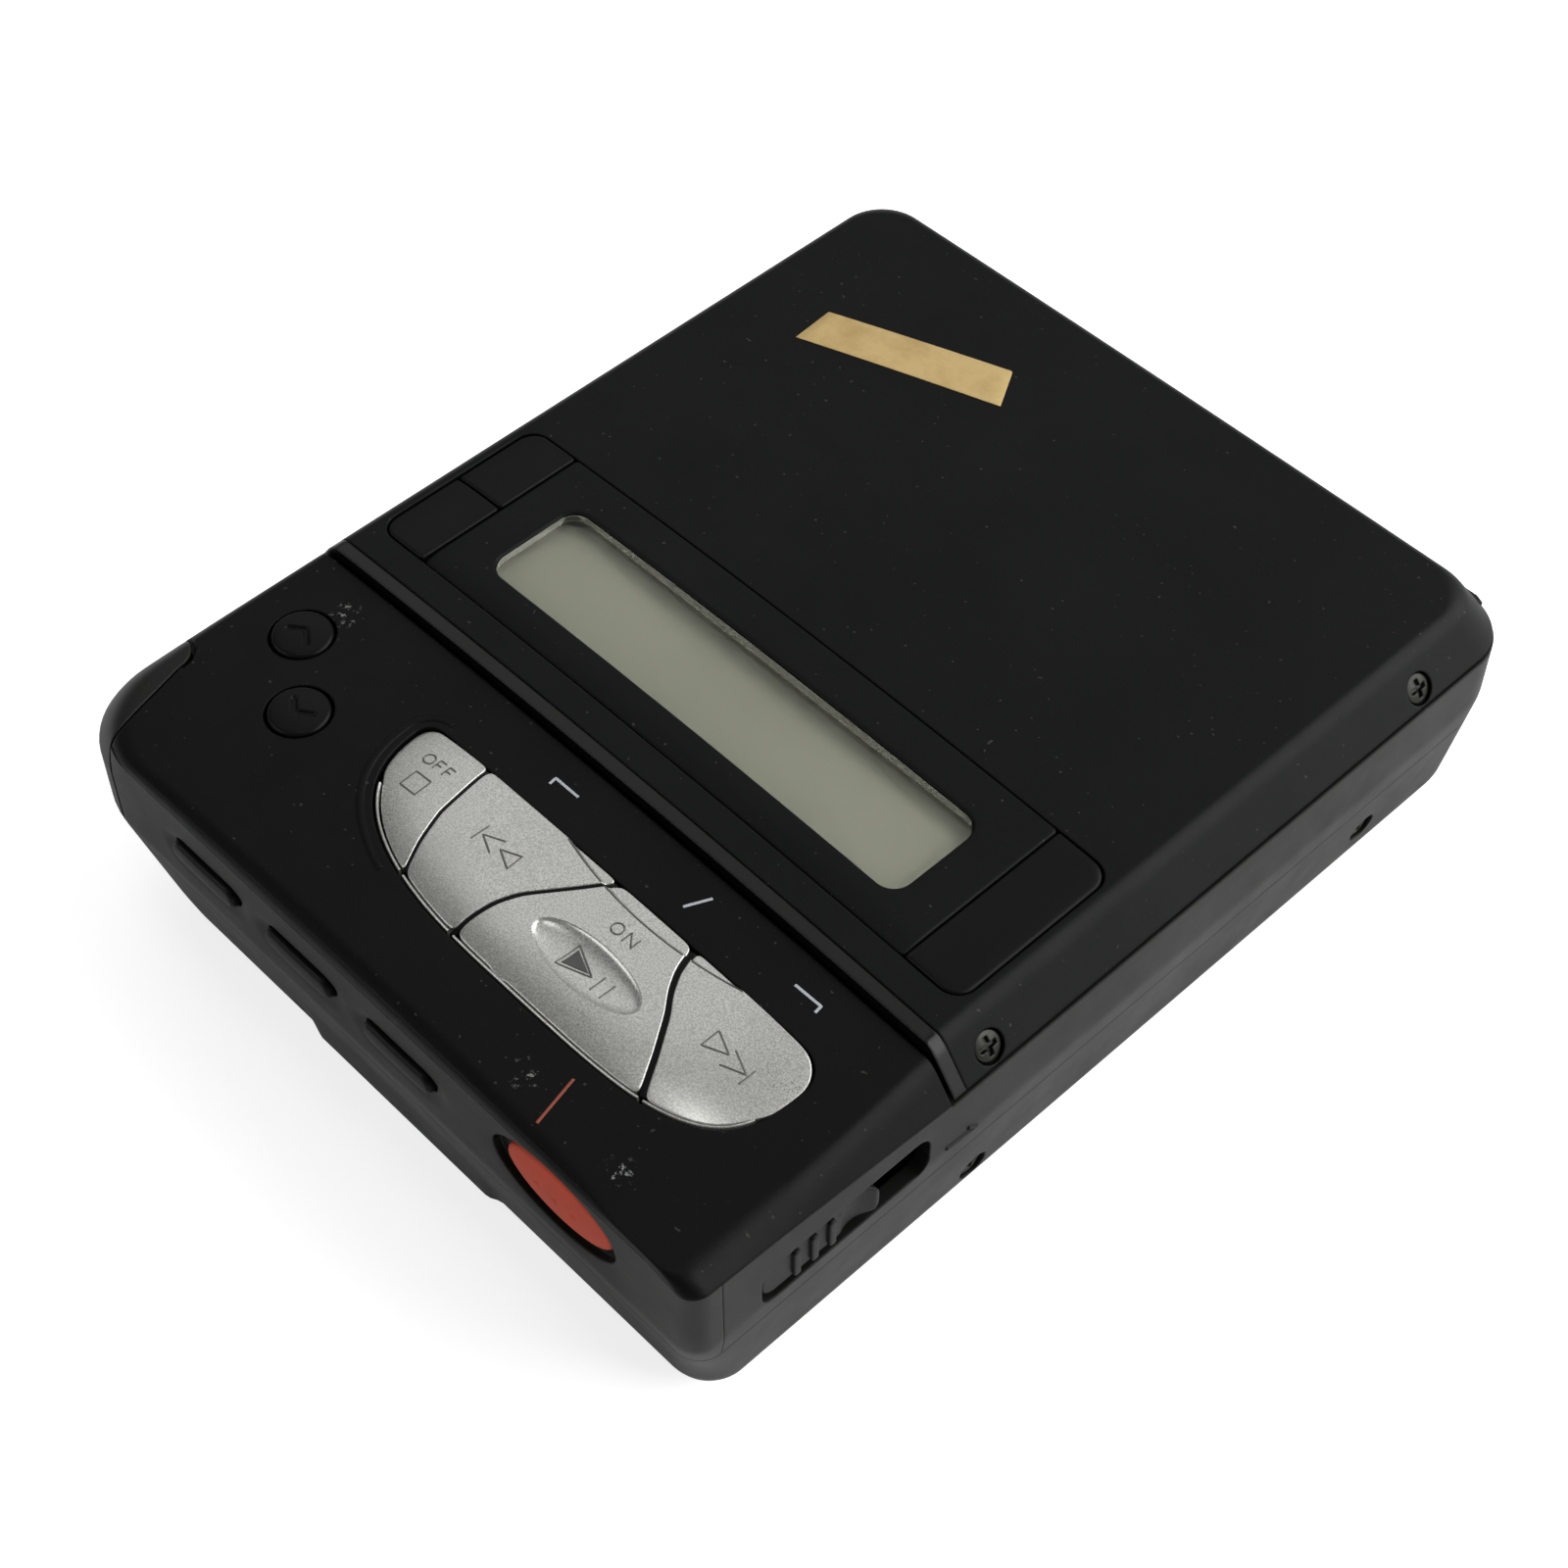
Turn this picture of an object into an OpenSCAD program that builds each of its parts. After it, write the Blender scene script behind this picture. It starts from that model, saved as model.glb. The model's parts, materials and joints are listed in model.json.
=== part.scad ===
// Portable disc recorder with a lid that loads from the top.
// Millimetres, +X to the right, +Y to the hinge end, +Z up, origin at the bottom centre.

/* [Case] */
// Width of the body at the lid line
body_w = 85; // [84:0.5:92]
// Depth from the front face to the hinge end
body_d = 105.5; // [105:0.5:115]
// Height of the line where the lid meets the body
lid_z = 22; // [21.8:0.1:25]
// Height where the walls start to lean in
belt_z = 16; // [15.5:0.25:17]
// Height of the seam between the bottom case and the middle frame
seam_z = 12.5; // [12:0.1:12.8]
// Lean of the side walls at the base
side_lean = 2.4; // [1.5:0.1:3]
// Lean of the end walls at the base
end_lean = 3.9; // [3:0.1:4.6]
// Corner radius seen from above
corner_r = 6; // [5:0.25:7]
// How much rounder the corner at the battery door is
door_round = 3; // [1:0.25:3.5]
// Chamfer round the base
base_edge = 1.2; // [0.8:0.1:1.6]
// Thickness of the case walls
wall = 1.5; // [1.2:0.1:1.7]
// Thickness of the case floor
floor_t = 1.2; // [1:0.1:1.4]

/* [Lid and deck] */
// Height of the closed lid above the lid line
lid_h = 5.9; // [5.8:0.1:7]
// Step down from the lid to the key deck
deck_drop = 1; // [0.6:0.1:1.1]
// Depth of the key deck from the front face
deck_d = 29.05; // [29:0.05:30]
// Radius of the crown across the top
crown_r = 700; // [600:10:1000]
// Run of the sloping shoulders
shoulder = 2.8; // [2.4:0.1:2.9]
// Run of the sloping shoulder over the hinge
rear_shoulder = 2.4; // [2:0.1:2.8]
// Thickness of the lid and deck skins
skin = 1.1; // [0.9:0.1:1.2]
// Gap between the closed lid and what it meets
lid_gap = 0.5; // [0.4:0.05:0.6]
// Depth of the strip along the front of the lid
lip_d = 1.4; // [1.2:0.1:1.6]

/* [Display] */
// Width of the display panel
panel_w = 62.8; // [60:0.2:63]
// Depth of the display panel
panel_d = 19; // [18.5:0.1:19.5]
// Distance from the lid front to the panel
panel_in = 4.7; // [4.5:0.1:5]
// Width of the display window
window_w = 53.2; // [50:0.2:54]
// Depth of the display window
window_d = 10.9; // [10:0.1:11.5]
// Distance from the panel front to the window
window_in = 3.75; // [3.5:0.05:4]
// Width of the keys beside the panel
lid_key_w = 6.2; // [5.6:0.1:6.3]

/* [Keys] */
// Travel of the keys on the deck and lid
key_travel = 0.4; // [0.3:0.05:0.5]
// Height of the keys above the surface round them
key_proud = 0.4; // [0.2:0.05:0.5]
// Gap round every key
key_gap = 0.2; // [0.15:0.01:0.25]
// Radius of the two round volume keys
volume_r = 2.9; // [2.6:0.05:3.1]
// Length of the front keys
front_key_w = 9; // [8:0.1:9.6]
// Height of the front keys
front_key_h = 2.4; // [2:0.1:2.8]
// Half width of the record key
record_rx = 6.4; // [6:0.1:6.8]
// Half height of the record key
record_rz = 3.2; // [2.8:0.1:3.4]

/* [Cartridge and battery] */
// Width of the disc cartridge
cart_w = 72; // [71:0.1:72.5]
// Depth of the disc cartridge
cart_d = 68; // [67:0.1:68]
// Thickness of the disc cartridge
cart_t = 5; // [4.8:0.05:5.1]
// Length of the flat battery
battery_l = 67; // [64:0.5:67.5]
// Width of the flat battery
battery_w = 17; // [16:0.1:17.2]
// Thickness of the flat battery
battery_t = 6; // [5.6:0.1:6.1]

/* [Sockets] */
// Bore radius of the three audio sockets
jack_r = 1.8; // [1.76:0.01:1.85]
// Bore radius of the power socket
power_r = 2; // [1.9:0.01:2.1]
// Depth of every socket
jack_depth = 12; // [11:0.1:12.5]
// Spacing of the sockets along the left side
jack_pitch = 12; // [11:0.1:13]
// Height of the sockets above the base
jack_z = 7.6; // [7.2:0.05:7.8]

/* [Drive] */
// Smallest radius that the pickup reads
read_r0 = 14.5; // [14.3:0.1:15]
// Travel of the pickup sled
sled_travel = 16.5; // [14:0.1:16.5]
// Radius of the turntable
turntable_r = 7.4; // [6.5:0.1:7.6]
// Radius of the sled guide rods
rod_r = 0.75; // [0.6:0.05:0.9]
// Radius of the lead screw
screw_r = 1; // [0.8:0.05:1.1]

/* [Joints] */
// Radius of the lid hinge barrel
barrel_r = 1.4; // [1.3:0.05:1.5]
// Radius of the hinge pins
pin_r = 0.6; // [0.5:0.05:0.7]
// Radial running fit of shafts and pins
run_fit = 0.05; // [0.03:0.01:0.08]
// Travel of the lid release
eject_travel = 6; // [5:0.1:6]
// Room left between moving pieces
clear = 0.3; // [0.2:0.02:0.4]

/* [Hidden] */

$fn = 64;
corner_steps = 8;
crown_steps = 24;
eps = 0.01;
big = 300;

// Faces and lines of the case
x_half = body_w / 2;
y_front = -body_d / 2;
y_rear = body_d / 2;
deck_rear = y_front + deck_d;
lid_front = deck_rear + lid_gap;
body_top = lid_z - lid_gap / 2;
lid_under = lid_z + lid_gap / 2;
lid_top = lid_z + lid_h;
deck_top = lid_top - deck_drop;
front_seam = deck_top - 1.7;
panel_wrap = 3.25;

// Lid hinge
hinge_y = y_rear - barrel_r - run_fit;
hinge_z = lid_z - 0.8;
trough_r = barrel_r + clear + run_fit;
lug_x = x_half - 10.2;
lug_w = 3.5;
lug_foot = barrel_r - 0.2;
pin_reach = 2;

// Cartridge bay, from the lid line down
holder_t = 0.5;
holder_top = lid_z - 1;
holder_half = cart_w / 2 + clear;
cart_top = holder_top - holder_t;
cart_bottom = cart_top - cart_t - 0.4;
holder_bottom = cart_bottom - holder_t;
hook_room = 3.2;
bay_front = lid_front + hook_room;
bay_rear = bay_front + cart_d + clear;
rail_w = 2.5;
spin_y = bay_front + cart_d / 2;
cross_t = 1.3;

// Lid release
latch_t = 0.8;
latch_top = holder_bottom - clear - 0.2;
latch_z = latch_top - latch_t;
hook_x = 24;
hook_w = 5;
hook_t = 1.2;
hook_y = lid_front + 0.8;
nose = 1.5;
window_front = hook_y - eject_travel - 1.2;
window_rear = hook_y + hook_t + nose + clear + 0.2;
latch_rear = window_rear + 1.8;
latch_arm_w = 4;
slot_y0 = y_front + 7.45;
slot_y1 = y_front + 26.75;
slot_z0 = lid_z - 7;
slot_z1 = lid_z - 1.8;
knob_y0 = slot_y0 + clear;
knob_y1 = knob_y0 + 12.9;

// Key deck, from its skin down
crown_drop = pow(x_half - 8, 2) / (2 * crown_r);
flange_t = 0.5;
flange_w = 0.6;
flange_z = deck_top - skin - crown_drop - 0.1 - flange_t;
mat_t = 0.5;
mat_z = flange_z - key_travel - 0.05 - mat_t;
key_board_t = 0.6;
key_board_z = mat_z - key_board_t;

// Battery bay
case_t = 0.8;
case_slack = 0.2;
front_board_y = y_front + wall + flange_t + key_travel + 0.2;
case_y0 = front_board_y + key_board_t + 0.45;
case_y1 = case_y0 + battery_w + 2 * case_slack + 2 * case_t;
case_z0 = latch_top + clear;
case_z1 = case_z0 + battery_t + 2 * case_slack + 2 * case_t;
battery_x0 = -x_half + 4.7;
contact_gap = 1.2;
grip_l = 1.5;
case_x1 = battery_x0 + battery_l + contact_gap + case_t;

// Battery door
door_z0 = lid_z - 8;
door_r = 2.5;
door_x = -x_half + door_r;
door_y = y_front + 10.55;
door_swing_room = 0.5;
door_end_x = -x_half + 7.9;
knuckle_r = 1.7;

// Drive, from the case floor up
post_r = 2.4;
board_t = 0.8;
board_z = floor_t + 1.2;
board_top = board_z + board_t;
damper_t = 1.2;
chassis_z = floor_t + 9;
chassis_t = 0.8;
chassis_top = chassis_z + chassis_t;
damper_z = chassis_z - damper_t;
damper_x = [-22, x_half - 9.5];
damper_y = [spin_y - 20, spin_y + 20];
shank_r = 0.7;
rod_y = 9;
rod_z = chassis_z + chassis_t / 2;
sled_half = 6;
sled_y = 11;
sled_z0 = rod_z - 2;
sled_z1 = rod_z + 2;
rod_x0 = 5.5;
rod_x1 = read_r0 + sled_travel + sled_half + 1.9;
lug_t = 1.8;
screw_y = spin_y - 14;

// Sockets on the left side
jack_x1 = -x_half + 1.5;
jack_y0 = spin_y - 2 * jack_pitch;
jack_nose_r = jack_r + 0.7;

function lean(z, full) = full * (1 - z / belt_z);
function ellipse(rx, ry, n = 48) = [for (i = [0 : n - 1]) [rx * cos(360 * i / n), ry * sin(360 * i / n)]];
// Points across the crowned top, a little past both sides
function crown_line(top) = [for (i = [0 : crown_steps])
    let (x = (i / crown_steps - 0.5) * (body_w + 10)) [x, top - x * x / (2 * crown_r)]];
function side_x(z) = x_half - lean(z, side_lean);

// Rectangle with round corners
module rrect(x0, x1, y0, y1, r) {
    translate([x0 + r, y0]) square([x1 - x0 - 2 * r, y1 - y0]);
    translate([x0, y0 + r]) square([x1 - x0, y1 - y0 - 2 * r]);
    for (x = [x0 + r, x1 - r], y = [y0 + r, y1 - r]) translate([x, y]) circle(r);
}

// Block given by two corners
module box(a, b) {
    translate(a) cube(b - a);
}

// Cylinder along X from x0 to x1
module bar_x(x0, x1, y, z, r) {
    translate([x0, y, z]) rotate([0, 90, 0]) cylinder(r = r, h = x1 - x0);
}

// Shape drawn in X and Z, carried along Y from y0 to y1
module slab_y(y0, y1) {
    translate([0, y1, 0]) rotate([90, 0, 0]) linear_extrude(y1 - y0) children();
}

// Points of a round-cornered outline, corner by corner
function corner_points(x, y, r, a0) =
    [for (i = [0 : corner_steps]) let (a = a0 + 90 * i / corner_steps) [x + r * cos(a), y + r * sin(a)]];
function plan_points(x0, x1, y0, y1, r) = let (d = r + door_round) concat(
    corner_points(x1 - r, y1 - r, r, 0), corner_points(x0 + r, y1 - r, r, 90),
    corner_points(x0 + d, y0 + d, d, 180), corner_points(x1 - r, y0 + r, r, 270));

// Plan of the case drawn in by side, front and rear
module plan(side, front, rear, r) {
    polygon(plan_points(-x_half + side, x_half - side, y_front + front, y_rear - rear, r));
}

// Thin slice of the case at height z
module slice(z, side, front, rear, r) {
    translate([0, 0, z]) linear_extrude(eps) plan(side, front, rear, r);
}

module lean_slice(z, t, extra = 0) {
    ends = lean(z, end_lean) + t + extra;
    slice(z, lean(z, side_lean) + t + extra, ends, ends, corner_r - t);
}

// Outside of the case below the lid line, or its inside when t is a wall
module case_form(t) {
    hull() {
        lean_slice(t > 0 ? floor_t : base_edge, t);
        lean_slice(t > 0 ? floor_t : 0, t, t > 0 ? 0 : base_edge);
        slice(belt_z - eps, t, t, t, corner_r - t);
    }
    translate([0, 0, belt_z]) linear_extrude(lid_z - belt_z + (t > 0 ? big : 0))
        plan(t, t, t, corner_r - t);
}

// Crowned form above the lid line: top is its height, t draws it in for the inside
module roof_form(top, t, front_run) {
    z0 = lid_z - (t > 0 ? 1 : 0);
    intersection() {
        hull() {
            slice(z0, t, t, t, corner_r - t);
            slice(top - t - 1.9, shoulder + t, t, rear_shoulder + t, corner_r - t);
            slice(top - t - 1.4, shoulder + t + 0.7, t, rear_shoulder + t + 0.7, corner_r - t);
            slice(top - t - 1.05, shoulder + t + 1.8, front_run / 4 + t, rear_shoulder + t + 1.8,
                corner_r - t);
            slice(top - t, shoulder + t + 2.8, front_run + t, rear_shoulder + t + 2.8, corner_r - t);
        }
        slab_y(-big, big) polygon(concat([[-big, 0]], crown_line(top - t), [[big, 0]]));
    }
}

module lid_form(t) {
    roof_form(lid_top, t, 1);
}

module deck_form(t) {
    roof_form(deck_top, t, 0.4);
}

// Ground plan of the battery door, grown by g for the pocket round it
module door_plan(g) {
    translate([door_x, door_y]) circle(door_r + (g > 0 ? door_swing_room : 0));
    polygon([[-big, door_y], [door_x + door_r + g, door_y], [door_end_x + g, y_front],
        [door_end_x + g, -big], [-big, -big]]);
}

module door_pocket() {
    translate([0, 0, door_z0 - clear]) linear_extrude(big) door_plan(clear);
}

// Places and sizes of the fasteners
side_screw_y = [y_front + 34.25, y_front + 87.15];
side_screw_z = [5.3, 7];
body_screw_sink = 0.3;
screw_head_r = 1.5;
screw_head_t = 0.7;
screw_shank_r = 0.7;
recess_r = screw_head_r + 0.1;
lid_screw_y = [lid_front + 5.1, lid_front + 61.9];
lid_screw_z = lid_z + 1.7;
lid_screw_x = x_half - 1.1;
lid_screw_sink = 1.3;
lid_boss_r = 2.4;
tab_w = 4;
tab_t = 1.6;
tab_x1 = side_x(3.5) - wall - 0.2;
tab_top = latch_z - clear;
lid_tab_x1 = x_half - shoulder - skin - 0.05;
lid_tab_t = 0.5;
board_post_x = 30;
board_post_y = [y_front + 12, y_rear - 12];

// Runs a child at each of the four side screws, with its own height
module at_body_screws() {
    for (side = [-1, 1], i = [0, 1]) {
        z = side_screw_z[i];
        mirror([side < 0 ? 1 : 0, 0, 0]) translate([side_x(z), side_screw_y[i], z]) children();
    }
}

module at_lid_screws() {
    for (side = [-1, 1], y = lid_screw_y) {
        mirror([side < 0 ? 1 : 0, 0, 0]) translate([lid_screw_x, y, lid_screw_z]) children();
    }
}

// Cross-head screw along X, its head outermost at the origin
module side_screw(reach) {
    difference() {
        union() {
            bar_x(-screw_head_t, 0, 0, 0, screw_head_r);
            bar_x(-reach, -screw_head_t, 0, 0, screw_shank_r);
        }
        for (turn = [0, 90]) rotate([turn, 0, 0]) box([-0.4, -0.9, -0.18], [1, 0.9, 0.18]);
    }
}

module screw_recess(sink) {
    bar_x(-sink - screw_head_t, 5, 0, 0, recess_r);
    bar_x(-5, 0, 0, 0, screw_shank_r + 0.1);
}

// Low foot that stands out of the sloping front
module front_foot() {
    rotate([90, 0, 90]) translate([0, 0, -12.5]) linear_extrude(25)
        polygon([[y_front + lean(9, end_lean), 9], [y_front + end_lean - 1, base_edge],
            [y_front + end_lean, 0], [y_front + end_lean + 4, 0], [y_front + end_lean + 4, 9]]);
}

module damper_posts() {
    for (x = damper_x, y = damper_y) translate([x, y, 0]) difference() {
        translate([0, 0, floor_t - 0.2]) cylinder(r = post_r, h = damper_z - floor_t + 0.2);
        translate([0, 0, damper_z - 4]) cylinder(r = shank_r, h = 5);
    }
}

module jack_openings() {
    for (i = [0 : 2]) bar_x(-big, -x_half + 5, jack_y0 + i * jack_pitch, jack_z, jack_nose_r + 0.1);
    bar_x(-big, -x_half + 5, jack_y0 + 3 * jack_pitch, jack_z, power_r + 0.8);
}

module bottom_case() {
    color([0.12, 0.12, 0.12]) {
        difference() {
            union() {
                difference() {
                    intersection() {
                        union() {
                            case_form(0);
                            front_foot();
                        }
                        box([-big, -big, -1], [big, big, seam_z]);
                    }
                    case_form(wall);
                }
                for (x = [-board_post_x, board_post_x], y = board_post_y)
                    translate([x, y, floor_t - 0.2]) cylinder(r = 1.5, h = board_z - floor_t + 0.2);
            }
            jack_openings();
            at_body_screws() screw_recess(body_screw_sink);
        }
        damper_posts();
    }
}

module hinge_lugs() {
    for (side = [-1, 1]) mirror([side < 0 ? 1 : 0, 0, 0]) {
        bar_x(lug_x, lug_x + lug_w, hinge_y, hinge_z, barrel_r);
        box([lug_x, hinge_y - lug_foot, hinge_z - trough_r - 1],
            [lug_x + lug_w, hinge_y + lug_foot, hinge_z]);
    }
}

module eject_slot() {
    r = (slot_z1 - slot_z0) / 2 - eps;
    translate([x_half - wall - 1, 0, 0]) rotate([90, 0, 90]) linear_extrude(5)
        rrect(slot_y0, slot_y1, slot_z0, slot_z1, r);
}

module screw_tabs() {
    for (i = [0, 1], side = [-1, 1]) mirror([side < 0 ? 1 : 0, 0, 0]) {
        y = side_screw_y[i];
        box([tab_x1 - tab_t, y - tab_w / 2, side_screw_z[i] - 2], [tab_x1, y + tab_w / 2, tab_top]);
        box([tab_x1 - tab_t, y - tab_w / 2, seam_z], [x_half - 1, y + tab_w / 2, tab_top]);
    }
}

module mid_frame() {
    color([0.13, 0.13, 0.13]) difference() {
        union() {
            difference() {
                intersection() {
                    case_form(0);
                    union() {
                        box([-big, y_front + panel_wrap, seam_z], [big, deck_rear, lid_z]);
                        box([-big, deck_rear - eps, seam_z], [big, big, body_top]);
                    }
                }
                case_form(wall);
                door_pocket();
                eject_slot();
                bar_x(-big, big, hinge_y, hinge_z, trough_r);
            }
            box([-x_half + wall - 0.2, deck_rear - cross_t, latch_top + clear],
                [x_half - wall + 0.2, deck_rear, body_top]);
            hinge_lugs();
            screw_tabs();
            spring_stop();
            translate([door_x, door_y, seam_z]) cylinder(r = knuckle_r - 0.2, h = door_z0 - clear - seam_z);
        }
        for (side = [-1, 1]) mirror([side < 0 ? 1 : 0, 0, 0])
            bar_x(lug_x - 1, lug_x + lug_w + 1, hinge_y, hinge_z, pin_r);
        at_body_screws() bar_x(-8, 0, 0, 0, screw_shank_r);
        translate([door_x, door_y, seam_z + 0.1]) cylinder(r = pin_r, h = 5);
    }
}

module front_shell() {
    difference() {
        union() {
            case_form(0);
            deck_form(0);
        }
        intersection() {
            case_form(wall);
            box([-big, -big, 0], [big, big, lid_z]);
        }
        deck_form(wall);
    }
}

front_key_x = [-20.9, -7.5, 6];
front_key_z = lid_z - 2;
record_x = 26.3;
record_z = lid_z - 0.7;
front_proud = 0.35;
board_peg_x = [-28, 15];

module front_key_outline(g) {
    rrect(-front_key_w / 2 - g, front_key_w / 2 + g, -front_key_h / 2 - g, front_key_h / 2 + g,
        front_key_h / 2 + g - eps);
}

module front_panel() {
    color([0.13, 0.13, 0.13]) difference() {
        union() {
            intersection() {
                front_shell();
                union() {
                    box([-big, -big, seam_z], [big, y_front + panel_wrap, lid_z]);
                    box([-big, -big, lid_z - eps], [big, y_front + wall, front_seam]);
                }
            }
            for (x = board_peg_x)
                box([x - 1, y_front + wall - 0.2, lid_z - 6], [x + 1, front_board_y, lid_z - 4]);
        }
        door_pocket();
        for (x = front_key_x) translate([x, 0, front_key_z]) slab_y(y_front - 1, y_front + wall + 1)
            front_key_outline(key_gap);
        translate([record_x, 0, record_z]) slab_y(y_front - 1, y_front + wall + 1)
            polygon(ellipse(record_rx + key_gap, record_rz + key_gap));
    }
}

module deck_cover() {
    color([0.14, 0.14, 0.14]) difference() {
        intersection() {
            deck_form(0);
            box([-big, -big, lid_z], [big, deck_rear, big]);
        }
        intersection() {
            deck_form(skin);
            box([-big, -big, 0], [big, deck_rear - skin, big]);
        }
        box([-big, -big, 0], [big, y_front + wall, front_seam]);
        door_pocket();
        translate([0, 0, lid_z]) linear_extrude(big) cluster(key_gap);
        for (at = volume_at) translate([at[0], at[1], lid_z]) cylinder(r = volume_r + key_gap, h = big);
    }
}

module battery_door() {
    color([0.13, 0.13, 0.13]) difference() {
        union() {
            intersection() {
                front_shell();
                translate([0, 0, door_z0]) linear_extrude(big) door_plan(0);
            }
            translate([door_x, door_y, door_z0]) cylinder(r = knuckle_r, h = lid_z + 1 - door_z0);
        }
        translate([door_x, door_y, 0]) cylinder(r = pin_r + run_fit, h = lid_z + 0.5);
    }
}

module door_pin() {
    color("silver") translate([door_x, door_y, seam_z + 0.1]) cylinder(r = pin_r, h = lid_z - seam_z);
}

// Sleeve that takes the battery from the left, hung from the cross wall
module battery_case() {
    color([0.2, 0.2, 0.21]) {
        difference() {
            box([battery_x0 + grip_l, case_y0, case_z0], [case_x1, case_y1, case_z1]);
            box([-big, case_y0 + case_t, case_z0 + case_t],
                [case_x1 - case_t, case_y1 - case_t, case_z1 - case_t]);
        }
        box([battery_x0 + 4, case_y1 - eps, body_top - 2], [case_x1, deck_rear - cross_t, body_top]);
        for (x = [battery_x0 + 6, case_x1 - 4], y = [case_y0 + 3, case_y1 - 3])
            box([x - 1, y - 1, case_z1 - eps], [x + 1, y + 1, key_board_z]);
    }
}

module battery_pack() {
    color([0.35, 0.37, 0.4]) {
        y = (case_y0 + case_y1) / 2;
        z = (case_z0 + case_z1) / 2;
        translate([battery_x0, y, z]) rotate([90, 0, 90]) linear_extrude(battery_l)
            rrect(-battery_w / 2, battery_w / 2, -battery_t / 2, battery_t / 2, 1);
    }
}

module battery_contacts() {
    color("gold") {
        x1 = case_x1 - case_t;
        z = (case_z0 + case_z1) / 2;
        for (y = [case_y0 + 5, case_y1 - 5]) {
            box([x1 - 0.3, y - 1.5, z - 2], [x1, y + 1.5, z + 2]);
            box([x1 - contact_gap + 0.1, y - 1.5, z - 0.5], [x1 - 0.3 + eps, y + 1.5, z + 0.5]);
        }
    }
}

module spring_stop() {
    y = latch_rear + eject_travel + spring_l + clear;
    box([-x_half + 1, y, latch_z - 0.6], [-x_half + 4.6, y + 1.6, latch_top + 0.8]);
}

spring_l = 5;
spring_r = 1;
spring_x = -x_half + 3.5;

// Return spring of the lid release at its pressed length
module eject_spring() {
    color("silver") translate([spring_x, latch_rear + eject_travel + clear, latch_z + latch_t / 2])
        rotate([-90, 0, 0]) difference() {
            cylinder(r = spring_r, h = spring_l);
            translate([0, 0, -1]) cylinder(r = spring_r - 0.3, h = spring_l + 2);
        }
}

module latch_plate() {
    color("silver") difference() {
        union() {
            box([spring_x - 1, window_front - 1.8, latch_z], [x_half - 2.9, latch_rear, latch_top]);
            box([x_half - 2.9 - latch_arm_w, knob_y0 + 2, latch_z], [x_half - 2.9, latch_rear, latch_top]);
        }
        for (x = [-hook_x, hook_x])
            box([x - hook_w / 2 - clear, window_front, latch_z - 1],
                [x + hook_w / 2 + clear, window_rear, latch_top + 1]);
    }
}

rib_t = 0.9;
rib_pitch = 2;
rib_y = knob_y0 + 3.7;

// Ribbed sliding knob with a foot that stands on the latch plate
module eject_slider() {
    color([0.16, 0.16, 0.16]) {
        z0 = slot_z0 + clear;
        z1 = slot_z1 - clear;
        translate([x_half - wall - 0.8, 0, 0]) rotate([90, 0, 90]) linear_extrude(wall + 0.2)
            rrect(knob_y0, knob_y1, z0, z1, (z1 - z0) / 2 - eps);
        for (i = [0 : 2]) translate([0, rib_y + i * rib_pitch, 0])
            box([x_half - 1, -rib_t / 2, z0 + 0.6], [x_half - 0.1, rib_t / 2, z1 - 0.6]);
        box([x_half - wall - 2.6, knob_y0 + 2, latch_top],
            [x_half - wall - 0.6, knob_y1 - 2, slot_z1 + 0.6]);
    }
}

// Display panel, window and keys of the lid
panel_y0 = lid_front + panel_in;
panel_y1 = panel_y0 + panel_d;
panel_under = lid_top - skin - pow(panel_w / 2, 2) / (2 * crown_r) - 0.1;
window_y0 = panel_y0 + window_in;
window_y1 = window_y0 + window_d;
window_r = 2;
flange_d = 1.2;
frame_z = lid_under + 0.15;
frame_t = 0.8;
frame_top = frame_z + frame_t;
lid_board_t = 0.6;
lid_board_top = frame_top + lid_board_t;
lcd_top = panel_under - flange_t - 0.2;
lid_key_z = lid_board_top + key_travel + 0.05;
lid_key_x0 = panel_w / 2 + key_gap;
lid_key_x1 = lid_key_x0 + lid_key_w;
lid_key_split = panel_y0 + panel_d / 2;
lid_key_r = 2;
lid_key_proud = 0.15;
head_slot_y = 3;
head_x0 = read_r0 - 5;
head_x1 = holder_half - clear;

// Plan of the key block on one side of the panel, grown by g
module lid_key_plan(g) {
    intersection() {
        rrect(lid_key_x0 - 2 * lid_key_r, lid_key_x1 + g, panel_y0 - g, panel_y1 + g, lid_key_r + g);
        translate([lid_key_x0 - g, -big]) square(2 * big);
    }
}

module lid_barrel() {
    inner = lug_x - clear;
    outer = lug_x + lug_w + clear;
    intersection() {
        for (span = [[-inner, inner], [outer, x_half], [-x_half, -outer]]) {
            bar_x(span[0], span[1], hinge_y, hinge_z, barrel_r);
            box([span[0], hinge_y - 0.4, hinge_z + 0.6], [span[1], hinge_y + 1.1, lid_under + 0.8]);
        }
        translate([0, 0, hinge_z - 5]) linear_extrude(20) plan(0.4, 0, 0, corner_r);
    }
}

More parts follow.
